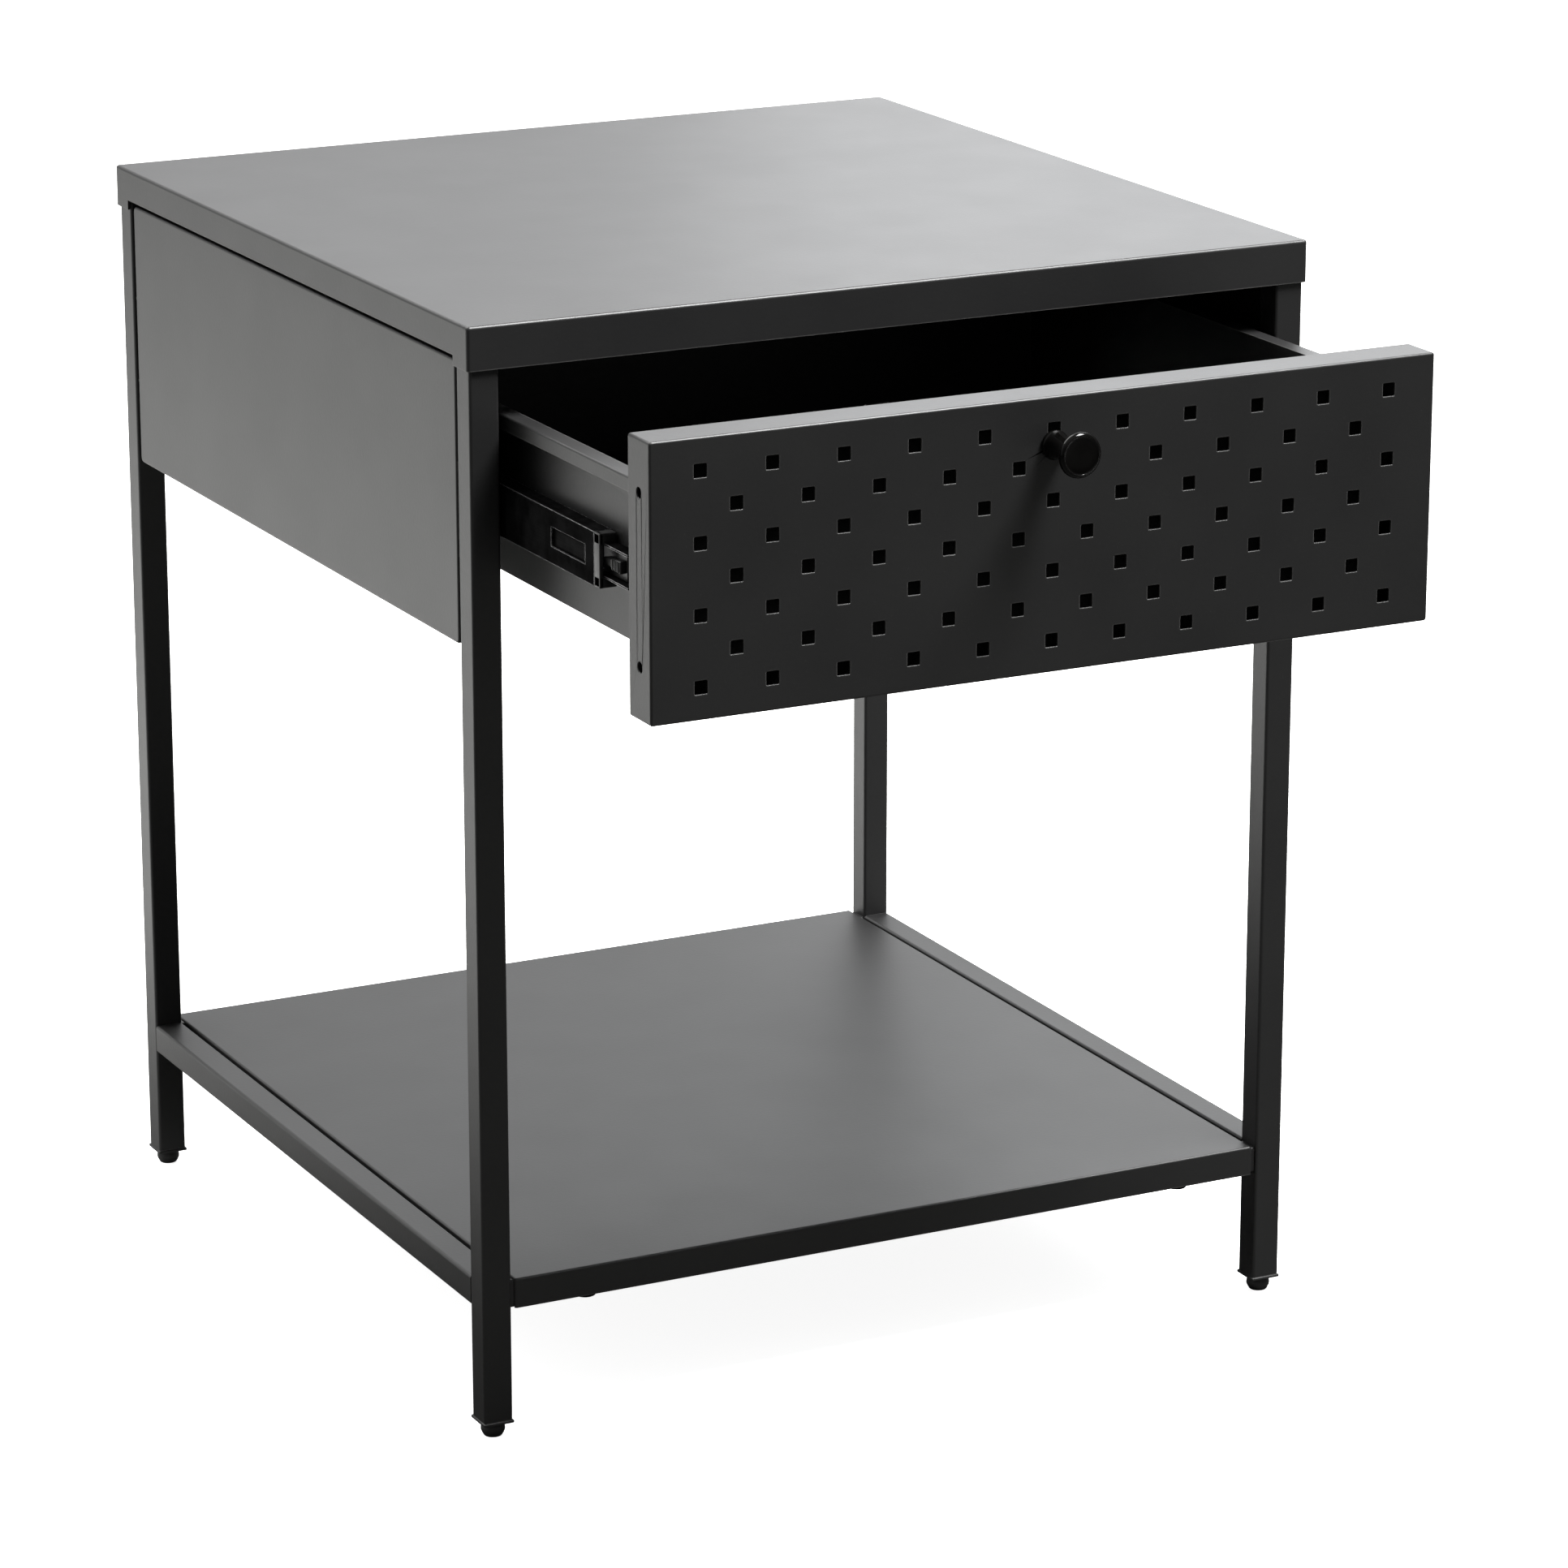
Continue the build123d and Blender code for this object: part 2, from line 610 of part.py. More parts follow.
def front_screw_places():
    """X and Z of the screws that join the tray's front wall to the drawer front."""
    x = tray_half * front_screw_spread
    low = tray_bottom + tray_height * front_screw_margin
    high = tray_top - tray_height * front_screw_margin
    return [(side * x, z) for side in (-1, 1) for z in (low, high)]


def make_drawer_tray():
    """The tray: floor and sides with an outward rim, front and rear walls, and their fasteners."""
    inner_half_x = tray_half - tray_sheet
    floor = channel((-tray_half, front_back_y, tray_bottom), (tray_half, tray_rear_y, tray_top),
                    "Y", "+Z", tray_sheet, tray_sheet)
    rim = channel((-rim_half, front_back_y, tray_top - rim_lip),
                  (-tray_half + tray_sheet, tray_rear_y, tray_top), "Y", "-Z", tray_sheet, tray_sheet)
    rim -= span_box((-tray_half, front_back_y - overshoot, tray_top - rim_lip - overshoot),
                    (-tray_half + 2 * tray_sheet, tray_rear_y + overshoot, tray_top - tray_sheet))
    tray = floor + rim + mirrored(rim)
    for y in drawer_screw_places():
        tray -= cylinder_between((-tray_half - overshoot, y, slide_z), (1, 0, 0),
                                 m4_shank + thread_clearance, 2 * (tray_half + overshoot))
    save("drawer_tray", tray)
    wall_bottom = tray_bottom + tray_sheet
    front_wall = span_box((-inner_half_x, front_back_y, wall_bottom),
                          (inner_half_x, front_back_y + tray_sheet, tray_top))
    screws = []
    for x, z in front_screw_places():
        seat = (x, front_back_y + tray_sheet, z)
        front_wall -= cylinder_between((x, front_back_y - overshoot, z), (0, 1, 0),
                                       m4_shank + hole_clearance, tray_sheet + 2 * overshoot)
        screws.append(screw(seat, (0, -1, 0), m4_shank, m4_head, m4_head_height,
                            tray_sheet + backing_sheet + 2 * m4_shank))
    save("drawer_front_wall", front_wall)
    save("drawer_front_screws", group(screws))
    rear_wall = channel((-inner_half_x, tray_rear_y - rear_hem, wall_bottom - 2 * tray_sheet),
                        (inner_half_x, tray_rear_y, tray_top), "X", "-Y", tray_sheet, tray_sheet)
    rear_wall -= span_box((-tray_half, tray_rear_y - 2 * rear_hem, wall_bottom - 3 * tray_sheet),
                          (tray_half, tray_rear_y + overshoot, wall_bottom))
    for side in (-1, 1):
        left, right = (side * notch_spacing - notch_width) / 2, (side * notch_spacing + notch_width) / 2
        rear_wall -= span_box((left, tray_rear_y - 2 * rear_hem, tray_bottom),
                              (right, tray_rear_y + overshoot, wall_bottom + notch_height))
    save("drawer_rear_wall", rear_wall)
    rivets = []
    edge_x = tray_half - 2 * rivet_radius
    for share in rivet_places:
        for x in (-edge_x, edge_x):
            seat = (x, front_back_y + tray_length * share, tray_bottom)
            dome = cylinder_between(seat, (0, 0, -1), rivet_radius, rivet_height)
            rivets.append(fillet(dome.edges().sort_by(Axis.Z)[0], rivet_height / 2))
    save("tray_floor_rivets", group(rivets))


def drawer_screw_places():
    """Where the drawer members are screwed to the tray's sides, along Y."""
    front_y = slide_front_y - rest_opening
    rear_y = front_y + slide_length
    return (front_y + 2 * slide_screw_setback, (front_y + rear_y) / 2, rear_y - slide_screw_setback)


def make_knob():
    """A turned, waisted knob with a slightly domed face, and the screw that holds it from inside."""
    knob_z = front_top - knob_drop
    bore_radius = m4_shank + thread_clearance
    bore_depth = knob_screw_length - front_sheet + overshoot
    face_at = knob_length - knob_face_rise
    face_radius = knob_head_radius - knob_rim_round
    base = (knob_base_radius, -knob_base_height)
    flare = (knob_flare_radius, -knob_flare_at)
    rim = (knob_head_radius, -knob_rim_at)
    outline = Polyline((0, -bore_depth), (bore_radius, -bore_depth), (bore_radius, 0),
                       (knob_base_radius, 0), base)
    outline += ThreePointArc(base, (knob_waist_radius, -knob_waist_at), flare)
    outline += ThreePointArc(flare, (knob_swell_radius, -knob_swell_at), rim)
    outline += Spline(rim, (face_radius, -face_at), tangents=((0, -1), (-1, 0)))
    dome_radius = (face_radius ** 2 + knob_face_rise ** 2) / (2 * knob_face_rise)
    dome_centre = (0, dome_radius - knob_length)
    dome_angle = degrees(asin(face_radius / dome_radius))
    outline += CenterArc(dome_centre, dome_radius, -90, dome_angle)
    outline += Line((0, -knob_length), (0, -bore_depth))
    knob = Pos(0, front_face_y, knob_z) * revolve(make_face(outline), Axis.Y)
    save("knob", knob)
    save("knob_screw", screw((0, front_face_y + front_sheet, knob_z), (0, -1, 0), m4_shank, m4_head,
                             m4_head_height, knob_screw_length))


os.makedirs("parts", exist_ok=True)
make_legs_and_feet()
make_frame_rails()
make_top_panel()
make_case_panels()
make_shelf()
make_cabinet_members()
make_middle_members()
make_ball_retainers()
make_drawer_members()
make_drawer_front()
make_drawer_tray()
make_knob()
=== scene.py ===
import json
import logging
import math
from dataclasses import dataclass, field
from enum import Enum
from typing import Callable, Iterable, Sequence

import bpy
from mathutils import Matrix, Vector


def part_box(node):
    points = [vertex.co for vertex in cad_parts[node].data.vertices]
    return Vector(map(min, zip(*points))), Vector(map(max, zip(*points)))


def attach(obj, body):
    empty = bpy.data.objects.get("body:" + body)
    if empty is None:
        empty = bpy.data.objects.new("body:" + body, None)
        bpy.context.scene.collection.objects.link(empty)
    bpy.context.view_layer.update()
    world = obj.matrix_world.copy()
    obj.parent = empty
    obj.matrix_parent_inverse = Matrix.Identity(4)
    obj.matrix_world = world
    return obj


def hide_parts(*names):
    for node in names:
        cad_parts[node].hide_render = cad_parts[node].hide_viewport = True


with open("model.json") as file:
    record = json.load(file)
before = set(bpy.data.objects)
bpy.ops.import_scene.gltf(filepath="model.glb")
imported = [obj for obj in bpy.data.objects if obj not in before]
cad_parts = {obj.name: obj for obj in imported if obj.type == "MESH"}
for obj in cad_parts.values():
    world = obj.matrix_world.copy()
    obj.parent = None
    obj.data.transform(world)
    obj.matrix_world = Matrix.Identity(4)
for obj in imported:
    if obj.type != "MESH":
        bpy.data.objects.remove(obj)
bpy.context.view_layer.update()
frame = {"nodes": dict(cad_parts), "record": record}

# A square metal side table with one drawer, dressed for a studio picture.
#
# The frame that was packed gives every place and size. This script adds the finishes, the pieces that
# need finer modelling than the frame has, and the studio: floor, lights and camera.

MM = 0.001
NEAR = 0.001 * MM  # places closer than this are taken as the same
FACING = 0.9  # a face points along an axis if its normal has more than this of it
WHITE = (1.0, 1.0, 1.0, 1.0)
LOG = logging.getLogger("side_table")


class Body(Enum):
    """The moving bodies of the table that pieces ride on."""

    FRAME = "frame"
    DRAWER = "drawer"
    LEFT_MIDDLE = "left_slide_middle"
    RIGHT_MIDDLE = "right_slide_middle"


class Slot(Enum):
    """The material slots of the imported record."""

    POWDER_COAT = "powder_coat"
    KNOB = "knob_gloss"
    GLIDE = "glide_plastic"
    SLIDE_PLASTIC = "slide_plastic"
    SLIDE_STEEL = "slide_steel"
    BALLS = "ball_steel"
    RETAINER = "retainer_steel"
    FASTENER = "fastener_steel"


# ---------------------------------------------------------------------------- finishes


@dataclass(frozen=True)
class Pattern:
    """A noise pattern: patches in a metre, octaves of finer noise, and how much finer along X, Y and Z."""

    scale: float
    detail: float
    stretch: tuple[float, float, float] | None = None


class Recipe:
    """A material's node tree while it is being put together."""

    edge_samples = 4
    edge_turn = (0.72, 0.98)  # how alike the rounded and the true normal are at an edge, and on a flat

    def __init__(self, name: str) -> None:
        """Start a material with a Principled shader and object coordinates.

        Args:
            name: the material's name.
        """
        self.material = bpy.data.materials.new(name)
        self.material.use_nodes = True
        self.tree = self.material.node_tree
        self.tree.nodes.clear()
        self.shader = self.node("ShaderNodeBsdfPrincipled")
        self.output = self.node("ShaderNodeOutputMaterial")
        self.link(self.shader.outputs["BSDF"], self.output.inputs["Surface"])
        self.coordinates = self.node("ShaderNodeTexCoord").outputs["Object"]

    def node(self, kind: str, **settings: object) -> bpy.types.Node:
        """Add a node and set its properties.

        Args:
            kind: the node's Blender type.
            **settings: the node's properties, by name.

        Returns:
            The node.
        """
        made = self.tree.nodes.new(kind)
        for key, value in settings.items():
            setattr(made, key, value)
        return made

    def link(self, source: bpy.types.NodeSocket, target: bpy.types.NodeSocket) -> None:
        """Join an output to an input."""
        self.tree.links.new(source, target)

    def noise(self, pattern: Pattern) -> bpy.types.NodeSocket:
        """A noise pattern over the surface.

        Args:
            pattern: how fine and how detailed it is.

        Returns:
            The pattern's factor, about 0.5 on average.
        """
        made = self.node("ShaderNodeTexNoise")
        made.inputs["Scale"].default_value = pattern.scale
        made.inputs["Detail"].default_value = pattern.detail
        source = self.coordinates
        if pattern.stretch is not None:
            mapping = self.node("ShaderNodeMapping")
            mapping.inputs["Scale"].default_value = pattern.stretch
            self.link(source, mapping.inputs["Vector"])
            source = mapping.outputs["Vector"]
        self.link(source, made.inputs["Vector"])
        return made.outputs["Fac"]

    def spread(self, factor: bpy.types.NodeSocket, low: float, high: float,
               start: float = 0.35, end: float = 0.65) -> bpy.types.NodeSocket:
        """Spread a factor between two values.

        Args:
            factor: the pattern to spread.
            low: the value at start and below.
            high: the value at end and above.
            start: the factor that gives low.
            end: the factor that gives high.

        Returns:
            The spread value.
        """
        made = self.node("ShaderNodeMapRange")
        self.link(factor, made.inputs["Value"])
        for key, value in (("From Min", start), ("From Max", end), ("To Min", low), ("To Max", high)):
            made.inputs[key].default_value = value
        return made.outputs["Result"]

    def blend(self, factor: bpy.types.NodeSocket, first: Sequence[float],
              second: Sequence[float]) -> bpy.types.NodeSocket:
        """Mix two colours.

        Args:
            factor: 0 for the first colour and 1 for the second.
            first: the first colour.
            second: the second colour.

        Returns:
            The mixed colour.
        """
        made = self.node("ShaderNodeMix", data_type="RGBA")
        self.link(factor, made.inputs["Factor"])
        made.inputs["A"].default_value = (*first, 1.0)
        made.inputs["B"].default_value = (*second, 1.0)
        return made.outputs["Result"]

    def over(self, factor: bpy.types.NodeSocket, under: bpy.types.NodeSocket,
             colour: Sequence[float]) -> bpy.types.NodeSocket:
        """Lay a colour over another.

        Args:
            factor: how much of the upper colour shows.
            under: the lower colour.
            colour: the upper colour.

        Returns:
            The mixed colour.
        """
        made = self.node("ShaderNodeMix", data_type="RGBA")
        self.link(factor, made.inputs["Factor"])
        self.link(under, made.inputs["A"])
        made.inputs["B"].default_value = (*colour, 1.0)
        return made.outputs["Result"]

    def times(self, first: bpy.types.NodeSocket, second: bpy.types.NodeSocket) -> bpy.types.NodeSocket:
        """The product of two factors.

        Args:
            first: one factor.
            second: the other factor.

        Returns:
            Their product.
        """
        made = self.node("ShaderNodeMath", operation="MULTIPLY")
        self.link(first, made.inputs[0])
        self.link(second, made.inputs[1])
        return made.outputs["Value"]

    def edges(self, radius: float) -> bpy.types.NodeSocket:
        """How near the surface is to a sharp edge.

        Args:
            radius: how far from the edge the effect reaches, in metres.

        Returns:
            A factor, 0 on a flat and up to 1 at an edge.
        """
        bevel = self.node("ShaderNodeBevel", samples=self.edge_samples)
        bevel.inputs["Radius"].default_value = radius
        geometry = self.node("ShaderNodeNewGeometry")
        product = self.node("ShaderNodeVectorMath", operation="DOT_PRODUCT")
        self.link(bevel.outputs["Normal"], product.inputs[0])
        self.link(geometry.outputs["Normal"], product.inputs[1])
        return self.spread(product.outputs["Value"], 1.0, 0.0, *self.edge_turn)

    def bump(self, heights: Iterable[tuple[bpy.types.NodeSocket, float]]) -> None:
        """Raise the surface by several patterns.

        Args:
            heights: each pattern with its height in metres.
        """
        previous = None
        for pattern, height in heights:
            made = self.node("ShaderNodeBump")
            made.inputs["Strength"].default_value = 1.0
            made.inputs["Distance"].default_value = height
            self.link(pattern, made.inputs["Height"])
            if previous is not None:
                self.link(previous, made.inputs["Normal"])
            previous = made.outputs["Normal"]
        if previous is not None:
            self.link(previous, self.shader.inputs["Normal"])

    def set(self, **values: float) -> None:
        """Set constant values on the shader, with spaces in socket names written as underscores."""
        for key, value in values.items():
            self.shader.inputs[key.replace("_", " ")].default_value = value

    def feed(self, **sources: bpy.types.NodeSocket) -> None:
        """Link patterns to the shader, with spaces in socket names written as underscores."""
        for key, source in sources.items():
            self.link(source, self.shader.inputs[key.replace("_", " ")])


@dataclass(frozen=True)
class PowderCoat:
    """Satin black powder coat: fine orange peel, slight sheet waviness, dust, and paler edges in patches
    that are partly wear and partly a painted highlight.
    """

    name: str = "powder_coat"
    dark: tuple[float, float, float] = (0.0080, 0.0080, 0.0082)
    pale: tuple[float, float, float] = (0.0105, 0.0105, 0.0106)
    # pale colour for dust specks and for the edges, where it is partly wear and partly a painted highlight
    worn: tuple[float, float, float] = (0.120, 0.119, 0.116)
    roughness: tuple[float, float] = (0.435, 0.450)
    specular: float = 0.5
    cloud: Pattern = Pattern(14.0, 4.0)
    smear: Pattern = Pattern(22.0, 5.0)
    edge_patches: Pattern = Pattern(120.0, 3.0)
    edge_patch_share: tuple[float, float] = (0.55, 0.95)
    dust: Pattern = Pattern(1400.0, 1.0)
    dust_share: float = 0.10
    dust_range: tuple[float, float] = (0.72, 0.80)
    peel: Pattern = Pattern(620.0, 1.5)
    peel_height: float = 0.00003
    wave: Pattern = Pattern(9.0, 1.0)
    wave_height: float = 0.00002
    edge_radius: float = 0.0009

    def build(self) -> bpy.types.Material:
        """Make the material.

        Returns:
            The powder coat.
        """
        recipe = Recipe(self.name)
        colour = recipe.blend(recipe.spread(recipe.noise(self.cloud), 0.0, 1.0), self.dark, self.pale)
        patchy = recipe.spread(recipe.noise(self.edge_patches), *self.edge_patch_share)
        # paler edges and hole lips in patches: partly paint wear, partly a painted highlight for light
        # caught by the roundings
        colour = recipe.over(recipe.times(recipe.edges(self.edge_radius), patchy), colour, self.worn)
        speck = recipe.spread(recipe.noise(self.dust), 0.0, self.dust_share, *self.dust_range)
        colour = recipe.over(speck, colour, self.worn)
        recipe.feed(Base_Color=colour, Roughness=recipe.spread(recipe.noise(self.smear), *self.roughness))
        recipe.set(Specular_IOR_Level=self.specular)
        recipe.bump([(recipe.noise(self.wave), self.wave_height),
                     (recipe.noise(self.peel), self.peel_height)])
        return recipe.material


@dataclass(frozen=True)
class Lacquer:
    """Glossy black lacquer on turned metal, with faint turning rings, dust and a painted highlight: a pale
    ring laid where the rim is sharply curved.
    """

    name: str = "knob_lacquer"
    colour: tuple[float, float, float] = (0.0012, 0.0011, 0.0010)
    dust: tuple[float, float, float] = (0.0032, 0.0030, 0.0028)
    painted_rim_highlight: tuple[float, float, float] = (0.30, 0.30, 0.30)
    # painted highlight: the pale colour laid on the rim's crest and sharp edges
    rim_radius: float = 0.0006
    dust_share: float = 0.6
    roughness: tuple[float, float] = (0.08, 0.14)
    specular: float = 0.15
    smear: Pattern = Pattern(90.0, 4.0)
    rings: Pattern = Pattern(1600.0, 0.0, (0.02, 1.0, 0.02))
    ring_height: float = 0.000008

    def build(self) -> bpy.types.Material:
        """Make the material.

        Returns:
            The lacquer.
        """
        recipe = Recipe(self.name)
        smear = recipe.noise(self.smear)
        colour = recipe.blend(recipe.spread(smear, 0.0, self.dust_share), self.colour, self.dust)
        # painted highlight: a pale ring on the rim's crest and edges stands in for the rim's reflection
        recipe.feed(Base_Color=recipe.over(recipe.edges(self.rim_radius), colour, self.painted_rim_highlight),
                    Roughness=recipe.spread(smear, *self.roughness))
        recipe.set(Specular_IOR_Level=self.specular)
        recipe.bump([(recipe.noise(self.rings), self.ring_height)])
        return recipe.material


@dataclass(frozen=True)
class MouldedPlastic:
    """Moulded black plastic with a fine spark-eroded texture and scuffs."""

    name: str
    dark: tuple[float, float, float] = (0.012, 0.012, 0.012)
    pale: tuple[float, float, float] = (0.028, 0.028, 0.028)
    scuff_share: float = 0.8
    roughness: tuple[float, float] = (0.45, 0.62)
    specular: float = 0.45
    scuff: Pattern = Pattern(160.0, 5.0)
    texture: Pattern = Pattern(1500.0, 2.0)
    texture_height: float = 0.00003

    def build(self) -> bpy.types.Material:
        """Make the material.

        Returns:
            The plastic.
        """
        recipe = Recipe(self.name)
        scuff = recipe.noise(self.scuff)
        worn = recipe.spread(scuff, 0.0, self.scuff_share)
        recipe.feed(Base_Color=recipe.blend(worn, self.dark, self.pale),
                    Roughness=recipe.spread(scuff, *self.roughness))
        recipe.set(Specular_IOR_Level=self.specular)
        recipe.bump([(recipe.noise(self.texture), self.texture_height)])
        return recipe.material


@dataclass(frozen=True)
class BrightSteel:
    """Bright ground steel, as balls have, with fine lines and faint clouds."""

    name: str
    dark: tuple[float, float, float]
    pale: tuple[float, float, float]
    metallic: float = 1.0
    roughness: tuple[float, float] = (0.08, 0.16)
    cloud: Pattern = Pattern(70.0, 4.0)
    lines: Pattern = Pattern(900.0, 2.0, (1.0, 0.015, 1.0))
    line_height: float = 0.00001

    def build(self) -> bpy.types.Material:
        """Make the material.

        Returns:
            The steel.
        """
        recipe = Recipe(self.name)
        lines = recipe.noise(self.lines)
        cloud = recipe.spread(recipe.noise(self.cloud), 0.0, 1.0)
        recipe.feed(Base_Color=recipe.blend(cloud, self.dark, self.pale),
                    Roughness=recipe.spread(lines, *self.roughness))
        recipe.set(Metallic=self.metallic)
        recipe.bump([(lines, self.line_height)])
        return recipe.material


@dataclass(frozen=True)
class BlackedSteel:
    """Thin black coating over steel strip: near black on the flats, with bright metal along the bends that
    is partly worn coating and partly a painted highlight.
    """

    name: str
    black: tuple[float, float, float] = (0.0035, 0.0035, 0.0036)
    scuffed: tuple[float, float, float] = (0.0090, 0.0090, 0.0092)
    # bright metal colour for the edges: partly bare steel, partly a painted highlight
    bare_metal_and_highlight: tuple[float, float, float] = (0.62, 0.62, 0.63)
    roughness: tuple[float, float] = (0.26, 0.38)
    ior: float = 1.012
    edge_radius: float = 0.0007
    cloud: Pattern = Pattern(90.0, 4.0)
    edge_patches: Pattern = Pattern(260.0, 3.0)
    edge_patch_share: tuple[float, float] = (0.45, 1.0)
    lines: Pattern = Pattern(900.0, 2.0, (1.0, 0.02, 1.0))
    line_height: float = 0.000008

    def build(self) -> bpy.types.Material:
        """Make the material.

        Returns:
            The blacked steel.
        """
        recipe = Recipe(self.name)
        lines = recipe.noise(self.lines)
        patchy = recipe.spread(recipe.noise(self.edge_patches), *self.edge_patch_share)
        # bright metal near sharp edges, in patches: partly worn coating, partly a painted highlight along
        # the bends
        edge = recipe.times(recipe.edges(self.edge_radius), patchy)
        cloud = recipe.spread(recipe.noise(self.cloud), 0.0, 1.0)
        colour = recipe.blend(cloud, self.black, self.scuffed)
        recipe.feed(Base_Color=recipe.over(edge, colour, self.bare_metal_and_highlight), Metallic=edge,
                    Roughness=recipe.spread(lines, *self.roughness))
        recipe.set(IOR=self.ior)
        recipe.bump([(lines, self.line_height)])
        return recipe.material


class Finishes:
    """Every finish of the table, made once and looked up by its material slot."""

    def __init__(self) -> None:
        """Make the materials."""
        self.by_slot: dict[Slot, bpy.types.Material] = {
            Slot.POWDER_COAT: PowderCoat().build(),
            Slot.KNOB: Lacquer().build(),
            Slot.GLIDE: MouldedPlastic("glide_plastic").build(),
            Slot.SLIDE_PLASTIC: MouldedPlastic("slide_plastic", roughness=(0.30, 0.42)).build(),
            Slot.SLIDE_STEEL: BlackedSteel("slide_steel").build(),
            Slot.BALLS: BrightSteel("ball_steel", (0.62, 0.62, 0.63), (0.72, 0.72, 0.73)).build(),
            Slot.RETAINER: BlackedSteel("retainer_steel", ior=1.03, edge_radius=0.0005).build(),
            Slot.FASTENER: BlackedSteel("black_zinc", edge_radius=0.0003).build(),
        }

    def dress_cad_nodes(self) -> int:
        """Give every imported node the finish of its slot.

        Returns:
            How many nodes were dressed.
        """
        slots = {entry["node"]: Slot(entry["material_slot"]) for entry in frame["record"]["subparts"]}
        for name, slot in slots.items():
            node = frame["nodes"][name]
            if not node.material_slots:
                node.data.materials.append(self.by_slot[slot])
            for entry in node.material_slots:
                entry.material = self.by_slot[slot]
        return len(slots)

    def dress_piece(self, piece: bpy.types.Object, slot: Slot, body: Body, *nodes: str) -> None:
        """Give a new piece its finish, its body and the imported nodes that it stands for.

        Args:
            piece: the new piece.
            slot: the material slot that it takes its finish from.
            body: the body that it moves with.
            nodes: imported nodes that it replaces.
        """
        piece.data.materials.clear()
        piece.data.materials.append(self.by_slot[slot])
        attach(piece, body.value)
        if nodes:
            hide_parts(*nodes)


# ---------------------------------------------------------------------------- workbench


class Workbench:
    """The modelling steps that several pieces share."""

    turned_smooth = 50.0  # turned pieces are smooth over edges flatter than this, in degrees
    block_smooth = 35.0

    @staticmethod
    def clear() -> None:
        """Leave edit mode and deselect everything."""
        if bpy.context.object is not None and bpy.context.object.mode != "OBJECT":
            bpy.ops.object.mode_set(mode="OBJECT")
        bpy.ops.object.select_all(action="DESELECT")

    @staticmethod
    def pick(piece: bpy.types.Object) -> None:
        """Make one object the only selected one, and active.

        Args:
            piece: the object.
        """
        Workbench.clear()
        piece.select_set(True)
        bpy.context.view_layer.objects.active = piece

    @staticmethod
    def select_faces(piece: bpy.types.Object, test: Callable[[Vector, Vector], bool]) -> None:
        """Select faces in edit mode by their place and normal.

        Args:
            piece: the object, in edit mode.
            test: given a face's centre and normal, says whether it is selected.
        """
        bpy.ops.mesh.select_all(action="DESELECT")
        bpy.ops.object.mode_set(mode="OBJECT")
        for face in piece.data.polygons:
            face.select = test(face.center, face.normal)
        bpy.ops.object.mode_set(mode="EDIT")
        bpy.ops.mesh.select_mode(type="FACE")

    @staticmethod
    def select_edges(piece: bpy.types.Object, test: Callable[[Vector], bool]) -> None:
        """Select edges in edit mode by where their middles are.

        Args:
            piece: the object, in edit mode.
            test: given an edge's middle, says whether it is selected.
        """
        bpy.ops.mesh.select_mode(type="EDGE")
        bpy.ops.mesh.select_all(action="DESELECT")
        bpy.ops.object.mode_set(mode="OBJECT")
        points = piece.data.vertices
        for edge in piece.data.edges:
            first, second = edge.vertices
            edge.select = test((points[first].co + points[second].co) / 2)
        bpy.ops.object.mode_set(mode="EDIT")

    @staticmethod
    def apply(piece: bpy.types.Object, kind: str, **settings: object) -> None:
        """Add a modifier, set it and apply it.

        Args:
            piece: the object that it works on.
            kind: the modifier's Blender type.
            **settings: the modifier's properties, by name.
        """
        Workbench.pick(piece)
        made = piece.modifiers.new(kind.title(), kind)
        for key, value in settings.items():
            setattr(made, key, value)
        bpy.ops.object.modifier_apply(modifier=made.name)

    @staticmethod
    def turned(name: str, profile: Sequence[tuple[float, float]], sides: int) -> bpy.types.Object:
        """Turn a piece about Z: a disc is added, then extruded and scaled ring by ring.

        Args:
            name: the piece's name.
            profile: radius and height of each ring, in millimetres, from one end to the other.
            sides: how many sides the rings have.

        Returns:
            The turned piece, closed at both ends and smooth.
        """
        Workbench.clear()
        radius, height = profile[0]
        bpy.ops.mesh.primitive_circle_add(vertices=sides, radius=radius * MM, fill_type="NGON",
                                          location=(0, 0, height * MM))
        piece = bpy.context.active_object
        piece.name = name
        bpy.ops.object.mode_set(mode="EDIT")
        bpy.ops.mesh.select_all(action="SELECT")
        for (radius, height), (next_radius, next_height) in zip(profile, profile[1:]):
            rise = (0, 0, (next_height - height) * MM)
            bpy.ops.mesh.extrude_region_move(TRANSFORM_OT_translate={"value": rise})
            bpy.ops.transform.resize(value=(next_radius / radius, next_radius / radius, 1.0),
                                     center_override=(0, 0, next_height * MM))
        bpy.ops.mesh.select_all(action="SELECT")
        bpy.ops.mesh.normals_make_consistent(inside=False)
        bpy.ops.object.mode_set(mode="OBJECT")
        bpy.ops.object.shade_smooth_by_angle(angle=math.radians(Workbench.turned_smooth))
        return piece

    @staticmethod
    def block(name: str, low: Vector, high: Vector) -> bpy.types.Object:
        """A cube, added and scaled to reach from one corner to another.

        Args:
            name: the block's name.
            low: its lowest corner.
            high: its highest corner.

        Returns:
            The block.
        """
        Workbench.clear()
        bpy.ops.mesh.primitive_cube_add(size=1.0, location=(low + high) / 2, scale=high - low)
        piece = bpy.context.active_object
        piece.name = name
        Workbench.settle(piece)
        return piece

    @staticmethod
    def settle(piece: bpy.types.Object) -> None:
        """Apply the object's own place, turn and scale to its mesh."""
        Workbench.pick(piece)
        bpy.ops.object.transform_apply(location=True, rotation=True, scale=True)

